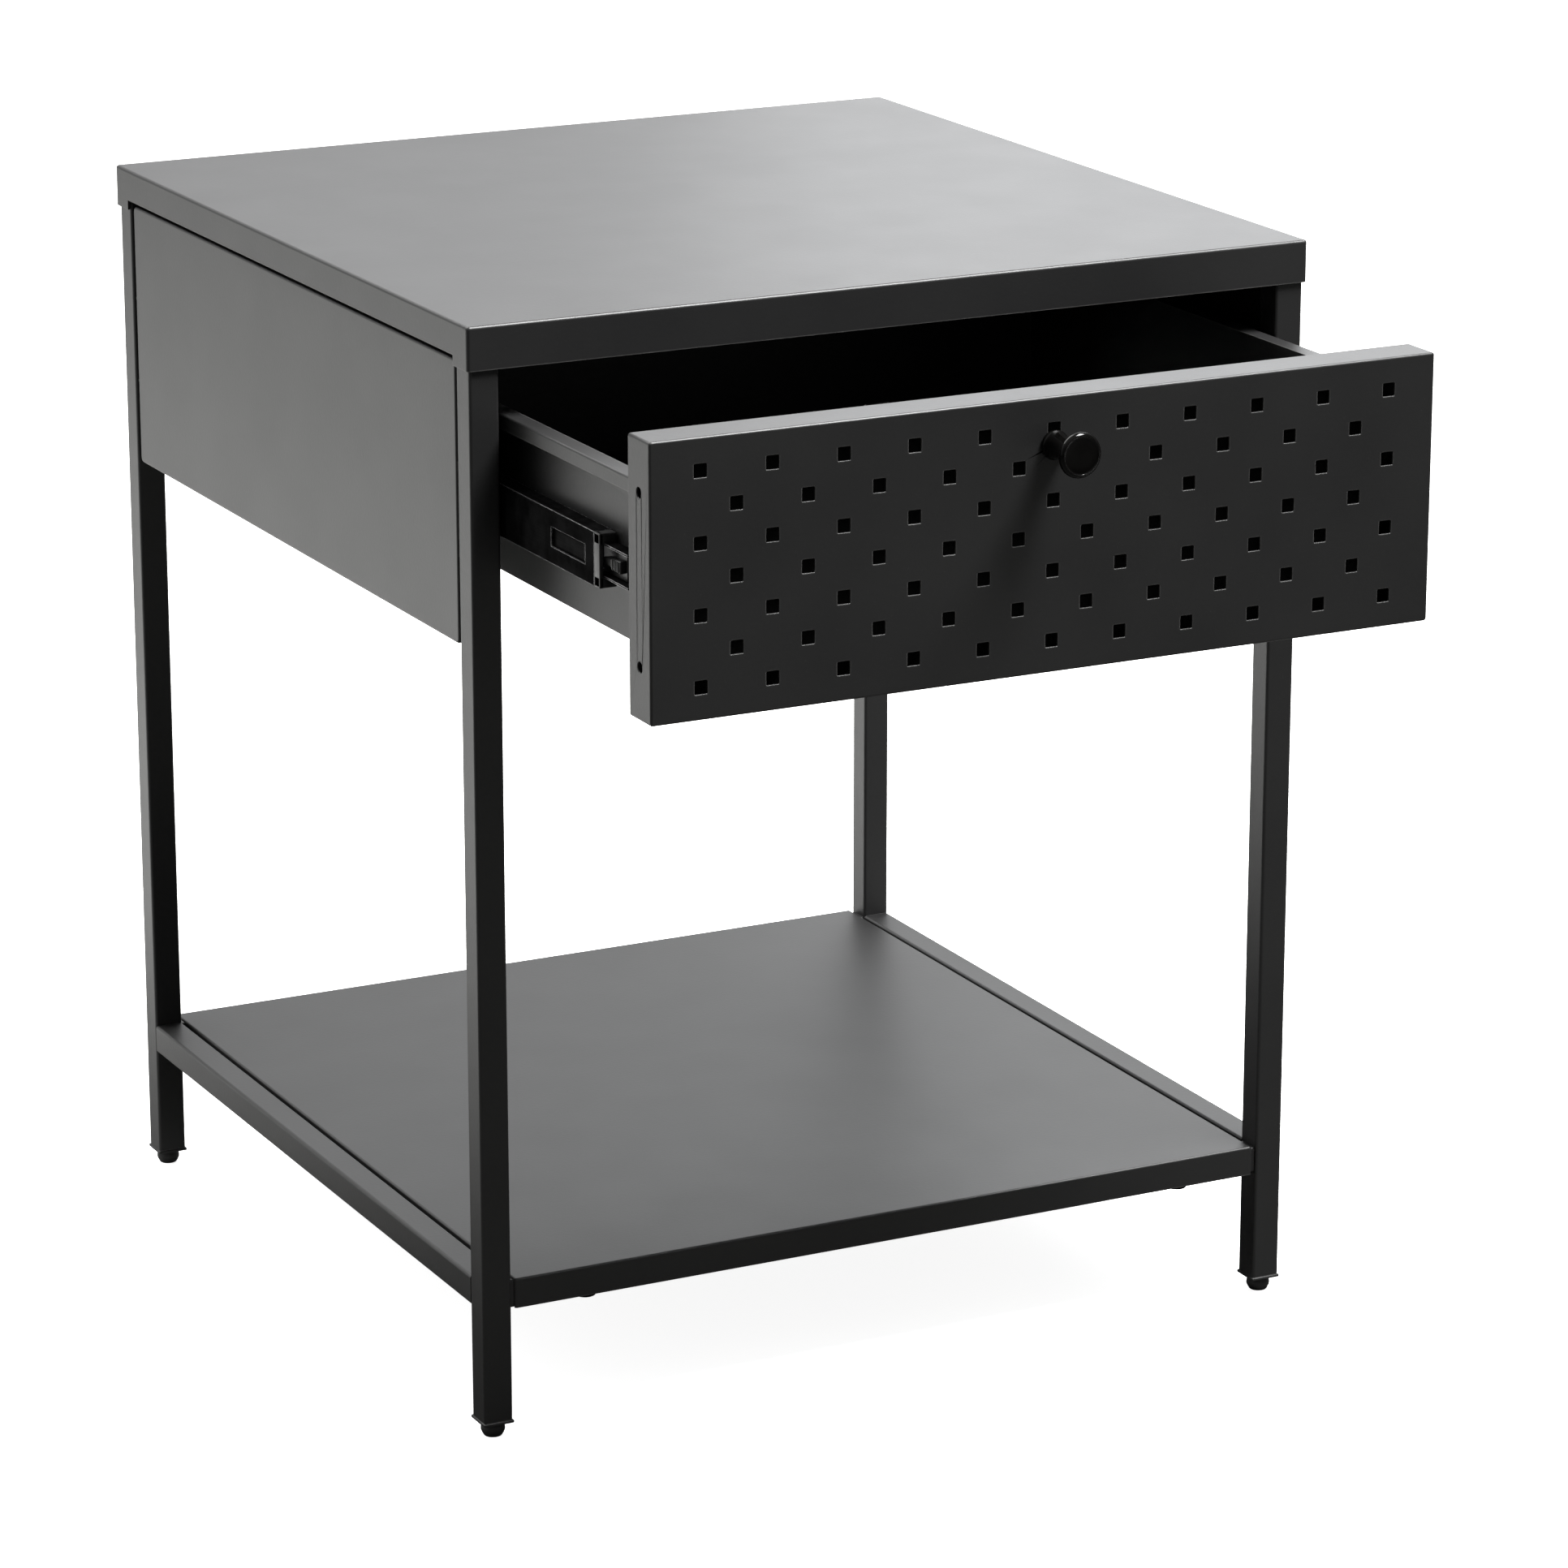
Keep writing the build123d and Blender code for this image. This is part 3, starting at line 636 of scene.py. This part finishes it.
    @staticmethod
    def soften(piece: bpy.types.Object, width: float, segments: int = 3, angle: float = 30.0) -> None:
        """Round the piece's edges and smooth its shading.

        Args:
            piece: the piece.
            width: the rounding's width in metres.
            segments: how many steps the rounding has.
            angle: edges sharper than this, in degrees, are rounded.
        """
        Workbench.apply(piece, "BEVEL", width=width, segments=segments, limit_method="ANGLE",
                        angle_limit=math.radians(angle))
        bpy.ops.object.shade_smooth_by_angle(angle=math.radians(Workbench.block_smooth))

    @staticmethod
    def join(name: str, pieces: Sequence[bpy.types.Object]) -> bpy.types.Object:
        """Join several closed shells as one piece.

        Args:
            name: the piece's name.
            pieces: the shells.

        Returns:
            The joined piece.
        """
        Workbench.clear()
        for piece in pieces:
            piece.select_set(True)
        bpy.context.view_layer.objects.active = pieces[0]
        bpy.ops.object.join()
        joined = bpy.context.active_object
        joined.name = name
        return joined


# ---------------------------------------------------------------------------- pieces


@dataclass
class Knob:
    """The drawer's knob: a turned base, a waist, and a wide head with a rounded rim and a dished face."""

    sides: int = 72
    rings: tuple[tuple[float, float], ...] = (
        (6.6, 0.0), (6.95, 0.3), (7.0, 1.6), (6.8, 2.0), (6.45, 2.5), (6.1, 3.6), (5.8, 5.2), (5.64, 7.2),
        (5.6, 9.4), (5.68, 11.4), (5.92, 13.6), (6.4, 16.1), (7.0, 18.0), (7.75, 19.4), (8.6, 20.5),
        (9.6, 21.7), (10.3, 22.5), (10.64, 23.1), (10.73, 23.7), (10.62, 24.4), (10.3, 25.0), (9.85, 25.5),
        (9.45, 25.8), (9.1, 25.95), (8.85, 25.9), (8.65, 25.7), (8.4, 25.5), (8.0, 25.42), (5.0, 25.5),
        (1.0, 25.54))

    def build(self, finishes: Finishes) -> bpy.types.Object:
        """Turn the knob, lay its axis along the drawer's way out and seat it on the drawer front.

        Args:
            finishes: the table's finishes.

        Returns:
            The knob.
        """
        piece = Workbench.turned("turned_knob", self.rings, self.sides)
        low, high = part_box("knob")
        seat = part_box("drawer_front")[0].y
        piece.rotation_euler = (math.radians(90), 0, 0)
        piece.location = ((low.x + high.x) / 2, seat, (low.z + high.z) / 2)
        Workbench.settle(piece)
        finishes.dress_piece(piece, Slot.KNOB, Body.DRAWER, "knob")
        return piece


@dataclass(frozen=True)
class RolledEdges:
    """Rounding that punching and paint leave on a packed sheet's sharp edges."""

    node: str
    width: float
    segments: int = 2
    angle: float = 40.0
    seam: float = 0.01 * MM

    def apply(self) -> None:
        """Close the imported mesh's seams and round its sharp edges."""
        node = frame["nodes"][self.node]
        weld = node.modifiers.new("closed seams", "WELD")
        weld.merge_threshold = self.seam
        bevel = node.modifiers.new("rolled edges", "BEVEL")
        bevel.width = self.width
        bevel.segments = self.segments
        bevel.limit_method = "ANGLE"
        bevel.angle_limit = math.radians(self.angle)
        bevel.harden_normals = True


@dataclass
class GlideFoot:
    """A glide foot: a round pad, a square flange under the leg, and a hollow plug inside it."""

    node: str
    pad_rings: tuple[tuple[float, float], ...] = (
        (3.9, 0.0), (4.35, 0.12), (4.62, 0.45), (5.35, 1.7), (5.88, 2.9), (5.95, 3.6), (5.93, 4.5),
        (5.7, 5.2), (5.25, 6.0), (5.2, 7.4))
    sides: int = 40
    flange_height: float = 1.6
    flange_round: float = 0.55
    plug_inset: float = 2.0
    plug_wall: float = 1.5
    plug_floor: float = 3.0

    def build(self, finishes: Finishes) -> bpy.types.Object:
        """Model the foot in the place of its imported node.

        Args:
            finishes: the table's finishes.

        Returns:
            The foot.
        """
        low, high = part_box(self.node)
        middle = (low + high) / 2
        pad = Workbench.turned(self.node + "_pad", self.pad_rings, self.sides)
        pad.location = (middle.x, middle.y, low.z)
        Workbench.settle(pad)
        seat = low.z + self.pad_rings[-1][1] * MM
        flange = Workbench.block(self.node + "_flange", Vector((low.x, low.y, seat)),
                                 Vector((high.x, high.y, seat + self.flange_height * MM)))
        Workbench.soften(flange, self.flange_round * MM)
        inset = self.plug_inset * MM
        plug = Workbench.block(
            self.node + "_plug", Vector((low.x + inset, low.y + inset, seat + self.flange_height * MM)),
            Vector((high.x - inset, high.y - inset, high.z)))
        bpy.ops.object.mode_set(mode="EDIT")
        Workbench.select_faces(plug, lambda _, normal: normal.z > FACING)
        bpy.ops.mesh.inset(thickness=self.plug_wall * MM, depth=0)
        bpy.ops.mesh.extrude_region_move(
            TRANSFORM_OT_translate={"value": (0, 0, -(high.z - seat) + self.plug_floor * MM)})
        bpy.ops.object.mode_set(mode="OBJECT")
        foot = Workbench.join(self.node + "_glide", [pad, flange, plug])
        finishes.dress_piece(foot, Slot.GLIDE, Body.FRAME, self.node)
        return foot


@dataclass(frozen=True)
class SlideSide:
    """One side of the drawer: its name, the way its slide faces, and its middle member's body."""

    name: str
    outward: int
    middle_body: Body

    def across(self, node: str) -> tuple[float, float]:
        """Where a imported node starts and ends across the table.

        Args:
            node: the node's name without its side.

        Returns:
            X of its outer and of its inner face.
        """
        low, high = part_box(f"{self.name}_{node}")
        return (low.x, high.x) if self.outward < 0 else (high.x, low.x)


@dataclass
class MiddleMember:
    """A slide's middle member: strip rolled to a channel, with ball tracks and windows in its web."""

    side: SlideSide
    sheet: float = 1.0
    track_start: float = 2.2
    track_step: float = 1.0
    track_depth: float = 0.45
    edge: float = 0.12
    seam: float = 0.01
    window_half: float = 4.6
    windows: tuple[tuple[float, float], ...] = ((9.0, 46.0), (153.0, 191.0), (273.0, 311.0))

    def build(self, finishes: Finishes) -> bpy.types.Object:
        """Fold the member from one sheet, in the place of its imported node.

        Args:
            finishes: the table's finishes.

        Returns:
            The member.
        """
        node = f"{self.side.name}_slide_middle_member"
        low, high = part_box(node)
        middle = (low + high) / 2
        web, lip = self.side.across("slide_middle_member")
        Workbench.clear()
        bpy.ops.mesh.primitive_plane_add(size=1.0, location=(web, middle.y, middle.z),
                                         rotation=(0, math.radians(90), 0))
        piece = bpy.context.active_object
        piece.name = f"{self.side.name}_rolled_middle_member"
        piece.scale = (high.z - low.z, high.y - low.y, 1.0)
        Workbench.settle(piece)
        bpy.ops.object.mode_set(mode="EDIT")
        self.cut_windows(piece, low.y, middle.z)
        for edge_z, inward in ((high.z, -1), (low.z, 1)):
            self.roll_flange(piece, web, lip, edge_z, inward)
        bpy.ops.mesh.select_all(action="SELECT")
        bpy.ops.mesh.remove_doubles(threshold=self.seam * MM)
        bpy.ops.mesh.normals_make_consistent(inside=False)
        bpy.ops.object.mode_set(mode="OBJECT")
        self.face_outwards(piece, web)
        Workbench.apply(piece, "SOLIDIFY", thickness=self.sheet * MM, offset=-1.0, use_even_offset=True)
        Workbench.soften(piece, self.edge * MM, 1)
        finishes.dress_piece(piece, Slot.SLIDE_STEEL, self.side.middle_body, node)
        return piece

    def cut_windows(self, piece: bpy.types.Object, front_y: float, middle_z: float) -> None:
        """Cut the web along each window's sides and take the windows out.

        Args:
            piece: the member, in edit mode.
            front_y: where its front end is.
            middle_z: the height of its middle.
        """
        half = self.window_half * MM
        spans = [(front_y + start * MM, front_y + end * MM) for start, end in self.windows]
        cuts = [((0, y, 0), (0, 1, 0)) for span in spans for y in span]
        cuts += [((0, 0, middle_z + offset), (0, 0, 1)) for offset in (-half, half)]
        for place, normal in cuts:
            bpy.ops.mesh.select_all(action="SELECT")
            bpy.ops.mesh.bisect(plane_co=place, plane_no=normal)
        Workbench.select_faces(piece, lambda centre, _: abs(centre.z - middle_z) < half and any(
            start < centre.y < end for start, end in spans))
        bpy.ops.mesh.delete(type="FACE")

    def roll_flange(self, piece: bpy.types.Object, web: float, lip: float, edge_z: float,
                    inward: int) -> None:
        """Turn one flange from the web's edge to the lip, with a track for the balls on its way.

        Args:
            piece: the member, in edit mode.
            web: X of the web.
            lip: X of the flange's free edge.
            edge_z: the height of the web's edge.
            inward: 1 if the middle of the member is above that edge, and -1 if below.
        """
        Workbench.select_edges(
            piece, lambda place: abs(place.z - edge_z) < NEAR and abs(place.x - web) < NEAR)
        across = 1 if lip > web else -1
        step, dip = self.track_step * MM, self.track_depth * MM * inward
        rest = abs(lip - web) - self.track_start * MM - 4 * step
        for run, rise in ((self.track_start * MM, 0.0), (step, dip), (2 * step, 0.0), (step, -dip),
                          (rest, 0.0)):
            bpy.ops.mesh.extrude_edges_move(TRANSFORM_OT_translate={"value": (across * run, 0, rise)})

    def face_outwards(self, piece: bpy.types.Object, web: float) -> None:
        """Turn the sheet's faces over if its web faces into the channel.

        Args:
            piece: the member, in object mode.
            web: X of the web.
        """
        facing = sum(face.normal.x for face in piece.data.polygons if abs(face.center.x - web) < NEAR)
        if facing * self.side.outward < 0:
            Workbench.pick(piece)
            bpy.ops.object.mode_set(mode="EDIT")
            bpy.ops.mesh.select_all(action="SELECT")
            bpy.ops.mesh.flip_normals()
            bpy.ops.object.mode_set(mode="OBJECT")


@dataclass
class SlideBumper:
    """The plastic bumper on a middle member's front end: a plate with two rounded lugs and their nibs."""

    side: SlideSide
    plate: float = 2.0
    lug_height: float = 5.4
    nib_radius: float = 1.3
    nib_rings: tuple[tuple[float, float], ...] = ((0.91, 0.0), (1.3, 0.5), (1.3, 4.4), (0.91, 4.9))
    nib_sides: int = 20
    edge: float = 0.7

    def build(self, finishes: Finishes) -> bpy.types.Object:
        """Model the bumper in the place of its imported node.

        Args:
            finishes: the table's finishes.

        Returns:
            The bumper.
        """
        node = f"{self.side.name}_slide_bumper"
        low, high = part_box(node)
        outer, inner = self.side.across("slide_bumper")
        depth = -self.side.outward * self.plate * MM
        name = f"{self.side.name}_bumper"
        spans = [sorted((outer, outer + depth)), sorted((outer, inner))]
        plate = Workbench.block(name, Vector((spans[0][0], low.y, low.z)),
                                Vector((spans[0][1], high.y, high.z)))
        Workbench.soften(plate, self.edge * MM / 2)
        pieces = [plate]
        for base, top in ((low.z, low.z + self.lug_height * MM), (high.z - self.lug_height * MM, high.z)):
            lug = Workbench.block(name, Vector((spans[1][0], low.y, base)),
                                  Vector((spans[1][1], high.y, top)))
            Workbench.soften(lug, self.edge * MM)
            pieces.append(lug)
            nib = Workbench.turned(name, self.nib_rings, self.nib_sides)
            nib.rotation_euler = (0, -self.side.outward * math.radians(90), 0)
            nib.location = (outer + depth / 2, low.y + self.nib_radius * MM, (base + top) / 2)
            Workbench.settle(nib)
            pieces.append(nib)
        bumper = Workbench.join(name + "_plastic", pieces)
        finishes.dress_piece(bumper, Slot.SLIDE_PLASTIC, self.side.middle_body, node)
        return bumper


@dataclass
class ReleaseLatch:
    """The lever that frees the drawer from its slide: a plate, a raised finger and grip ribs."""

    side: SlideSide
    plate: float = 2.2
    finger_half: float = 3.0
    finger_start: float = 1.0
    finger_stop: float = 6.0
    finger_taper: float = 0.45
    ribs: int = 5
    rib_width: float = 0.7
    rib_start: float = 2.0
    rib_pitch: float = 1.6
    rib_share: float = 0.8
    edge: float = 0.6

    def build(self, finishes: Finishes) -> bpy.types.Object:
        """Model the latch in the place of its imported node.

        Args:
            finishes: the table's finishes.

        Returns:
            The latch.
        """
        node = f"{self.side.name}_slide_latch"
        low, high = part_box(node)
        outer, inner = self.side.across("slide_latch")
        middle_z = (low.z + high.z) / 2
        name = f"{self.side.name}_release_latch"
        back = sorted((inner, inner + self.side.outward * self.plate * MM))
        pieces = [Workbench.block(name, Vector((back[0], low.y, low.z)),
                                  Vector((back[1], high.y, high.z)))]
        Workbench.soften(pieces[0], self.edge * MM)
        span = sorted((outer - self.side.outward * self.edge * MM, inner))
        half = self.finger_half * MM
        finger = Workbench.block(
            name, Vector((span[0], low.y + self.finger_start * MM, middle_z - half)),
            Vector((span[1], high.y - self.finger_stop * MM, middle_z + half)))
        bpy.ops.object.mode_set(mode="EDIT")
        Workbench.select_faces(finger, lambda _, normal: normal.y > FACING)
        bpy.ops.transform.resize(value=(1.0, 1.0, self.finger_taper),
                                 center_override=(0, high.y, middle_z))
        bpy.ops.object.mode_set(mode="OBJECT")
        Workbench.soften(finger, self.edge * MM)
        pieces.append(finger)
        ridge = sorted((outer, inner))
        for index in range(self.ribs):
            y = low.y + (self.rib_start + self.rib_pitch * index) * MM
            reach = half * self.rib_share
            rib = Workbench.block(name, Vector((ridge[0], y, middle_z - reach)),
                                  Vector((ridge[1], y + self.rib_width * MM, middle_z + reach)))
            Workbench.soften(rib, self.rib_width * MM / 3, 2)
            pieces.append(rib)
        latch = Workbench.join(name, pieces)
        finishes.dress_piece(latch, Slot.SLIDE_PLASTIC, Body.DRAWER, node)
        return latch


# ---------------------------------------------------------------------------- studio


@dataclass(frozen=True)
class StudioCamera:
    """A long-lens camera to the left of the table's front, looking slightly down."""

    azimuth: float = -26.85
    elevation: float = 16.51
    distance: float = 3.159
    aim: tuple[float, float, float] = (0.0515, 0.0, 0.2359)
    lens: float = 138.5
    sensor: float = 36.0
    far: float = 100.0

    def build(self) -> bpy.types.Object:
        """Place the camera; its aim is measured from the floor under the middle of the cap.

        Returns:
            The camera.
        """
        low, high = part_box("top_panel")
        target = Vector((self.aim[0], (low.y + high.y) / 2 + self.aim[1], self.aim[2]))
        turn, tilt = math.radians(self.azimuth), math.radians(self.elevation)
        back = Vector((math.sin(turn) * math.cos(tilt), -math.cos(turn) * math.cos(tilt), math.sin(tilt)))
        data = bpy.data.cameras.new("studio_camera")
        data.lens = self.lens
        data.sensor_width = self.sensor
        data.clip_end = self.far
        camera = bpy.data.objects.new("studio_camera", data)
        camera.location = target + back * self.distance
        camera.rotation_mode = "QUATERNION"
        camera.rotation_quaternion = (-back).to_track_quat("-Z", "Y")
        bpy.context.collection.objects.link(camera)
        bpy.context.scene.camera = camera
        return camera


@dataclass(frozen=True)
class Softbox:
    """One soft studio light."""

    name: str
    place: tuple[float, float, float]
    target: tuple[float, float, float]
    size: tuple[float, float]
    power: float
    colour: tuple[float, float, float] = (1.0, 1.0, 1.0)

    def build(self) -> bpy.types.Object:
        """Place the light and aim it.

        Returns:
            The light.
        """
        data = bpy.data.lights.new(self.name, "AREA")
        data.shape = "RECTANGLE"
        data.size, data.size_y = self.size
        data.energy = self.power
        data.color = self.colour
        light = bpy.data.objects.new(self.name, data)
        light.location = self.place
        light.rotation_mode = "QUATERNION"
        light.rotation_quaternion = (Vector(self.target) - Vector(self.place)).to_track_quat("-Z", "Y")
        light.visible_camera = False
        bpy.context.collection.objects.link(light)
        return light


@dataclass
class Studio:
    """A plain pale floor, dim surroundings that are brighter behind, and soft lights."""

    floor_half: float = 14.0
    floor_colour: tuple[float, float, float] = (0.88, 0.88, 0.87)
    floor_glow: float = 0.90
    floor_roughness: float = 0.9
    # painted shade: the floor's colour in front, for rays other than the camera's
    floor_painted_shade: tuple[float, float, float] = (0.085, 0.085, 0.082)
    floor_painted_shade_edge: tuple[float, float] = (0.05, 0.75)
    seen: float = 1.0
    front: float = 0.15
    back: float = 0.58
    back_turn: tuple[float, float] = (0.1, 0.9)
    back_rise: tuple[float, float] = (0.1, 0.6)
    back_low: float = 0.50
    left: float = 0.62
    left_turn: tuple[float, float] = (0.1, -0.9)
    left_fade: tuple[float, float] = (-0.6, 0.5)
    top: float = 0.40
    top_rise: tuple[float, float] = (0.35, 1.0)
    lights: list[Softbox] = field(default_factory=lambda: [
        Softbox("back_left_overhead", (-0.95, 1.5, 2.6), (-0.95, 1.5, 0.0), (2.4, 1.8), 96.0,
                (1.0, 0.995, 0.975)),
        Softbox("back_right_softbox", (1.45, 2.35, 1.75), (0.0, 0.1, 0.5), (2.0, 1.2), 14.0,
                (0.97, 0.985, 1.0)),
        Softbox("right_corner_softbox", (1.0, 1.2, 1.05), (0.1, 0.1, 0.5), (0.8, 0.5), 3.6,
                (0.97, 0.985, 1.0)),
        Softbox("front_overhead", (0.75, -0.75, 2.3), (0.0, -0.25, 0.4), (0.9, 0.7), 150.0),
    ])

    def build(self) -> None:
        """Make the floor, the surroundings and the lights."""
        scene = bpy.context.scene
        scene.view_settings.view_transform = "Standard"
        self.build_floor()
        self.build_surroundings()
        for light in self.lights:
            light.build()

    def build_floor(self) -> None:
        """A wide pale plane that glows; for gloss on the table it carries painted shade in front, dark as
        if behind a flag.
        """
        Workbench.clear()
        bpy.ops.mesh.primitive_plane_add(size=2 * self.floor_half, location=(0, 0, 0))
        floor = bpy.context.active_object
        floor.name = "studio_floor"
        recipe = Recipe("studio_floor")
        recipe.tree.nodes.remove(recipe.shader)
        seen = recipe.node("ShaderNodeBsdfPrincipled")
        seen.inputs["Base Color"].default_value = (*self.floor_colour, 1.0)
        seen.inputs["Roughness"].default_value = self.floor_roughness
        seen.inputs["Emission Color"].default_value = WHITE
        seen.inputs["Emission Strength"].default_value = self.floor_glow
        place = recipe.node("ShaderNodeSeparateXYZ")
        recipe.link(recipe.coordinates, place.inputs["Vector"])
        # painted shade: rays other than the camera's see the floor dark in front and pale behind
        behind = recipe.spread(place.outputs["Y"], 0.0, 1.0, *self.floor_painted_shade_edge)
        reflected = recipe.node("ShaderNodeBsdfDiffuse")
        recipe.link(recipe.blend(behind, self.floor_painted_shade, self.floor_colour), reflected.inputs["Color"])
        rays = recipe.node("ShaderNodeLightPath")
        chosen = recipe.node("ShaderNodeMixShader")
        recipe.link(rays.outputs["Is Camera Ray"], chosen.inputs["Fac"])
        recipe.link(reflected.outputs["BSDF"], chosen.inputs[1])
        recipe.link(seen.outputs["BSDF"], chosen.inputs[2])
        recipe.link(chosen.outputs["Shader"], recipe.output.inputs["Surface"])
        floor.data.materials.append(recipe.material)

    def build_surroundings(self) -> None:
        """Surroundings that light the table unevenly, and look plain and pale themselves."""
        world = bpy.data.worlds.new("studio")
        bpy.context.scene.world = world
        world.use_nodes = True
        tree = world.node_tree
        tree.nodes.clear()
        output = tree.nodes.new("ShaderNodeOutputWorld")
        direction = tree.nodes.new("ShaderNodeTexCoord").outputs["Generated"]
        parts = tree.nodes.new("ShaderNodeSeparateXYZ")
        tree.links.new(direction, parts.inputs[0])

        def ramp(socket: bpy.types.NodeSocket, start: float, end: float,
                 value: float) -> bpy.types.NodeSocket:
            """A smooth rise.

            Args:
                socket: what it rises with.
                start: where it is 0.
                end: where it reaches its full value.
                value: the full value.

            Returns:
                The rising value.
            """
            made = tree.nodes.new("ShaderNodeMapRange")
            made.interpolation_type = "SMOOTHSTEP"
            tree.links.new(socket, made.inputs["Value"])
            for key, number in (("From Min", start), ("From Max", end), ("To Min", 0.0), ("To Max", value)):
                made.inputs[key].default_value = number
            return made.outputs["Result"]

        def combine(operation: str, first: bpy.types.NodeSocket,
                    second: bpy.types.NodeSocket | float) -> bpy.types.NodeSocket:
            """The sum or product of two values.

            Args:
                operation: ADD or MULTIPLY.
                first: one value.
                second: the other value, which may be a number.

            Returns:
                The result.
            """
            made = tree.nodes.new("ShaderNodeMath")
            made.operation = operation
            tree.links.new(first, made.inputs[0])
            if isinstance(second, float):
                made.inputs[1].default_value = second
            else:
                tree.links.new(second, made.inputs[1])
            return made.outputs["Value"]

        behind = combine("MULTIPLY", ramp(parts.outputs["Y"], *self.back_turn, self.back),
                         combine("ADD", ramp(parts.outputs["Z"], *self.back_rise, 1.0), self.back_low))
        aside = combine("MULTIPLY", ramp(parts.outputs["X"], *self.left_turn, self.left),
                        ramp(parts.outputs["Y"], *self.left_fade, 1.0))
        glow = combine("ADD", combine("ADD", behind, self.front), aside)
        glow = combine("ADD", glow, ramp(parts.outputs["Z"], *self.top_rise, self.top))
        lit = tree.nodes.new("ShaderNodeBackground")
        tree.links.new(glow, lit.inputs["Strength"])
        plain = tree.nodes.new("ShaderNodeBackground")
        plain.inputs["Strength"].default_value = self.seen
        for shader in (lit, plain):
            shader.inputs["Color"].default_value = WHITE
        rays = tree.nodes.new("ShaderNodeLightPath")
        chosen = tree.nodes.new("ShaderNodeMixShader")
        tree.links.new(rays.outputs["Is Camera Ray"], chosen.inputs["Fac"])
        tree.links.new(lit.outputs["Background"], chosen.inputs[1])
        tree.links.new(plain.outputs["Background"], chosen.inputs[2])
        tree.links.new(chosen.outputs["Shader"], output.inputs["Surface"])


def main() -> None:
    """Build the studio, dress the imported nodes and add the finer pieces, in order."""
    logging.basicConfig(level=logging.INFO, format="%(name)s: %(message)s")
    StudioCamera().build()
    Studio().build()
    finishes = Finishes()
    LOG.info("dressed %d packed nodes", finishes.dress_cad_nodes())
    pieces = [Knob()]
    pieces += [GlideFoot(f"{end}_{side}_foot") for end in ("front", "rear") for side in ("left", "right")]
    sides = (SlideSide("left", -1, Body.LEFT_MIDDLE), SlideSide("right", 1, Body.RIGHT_MIDDLE))
    pieces += [kind(side) for side in sides for kind in (MiddleMember, SlideBumper, ReleaseLatch)]
    for piece in pieces:
        made = piece.build(finishes)
        LOG.info("built %s with %d faces", made.name, len(made.data.polygons))
    RolledEdges(node="drawer_front", width=0.49 * MM).apply()


if __name__ == "__main__":
    main()
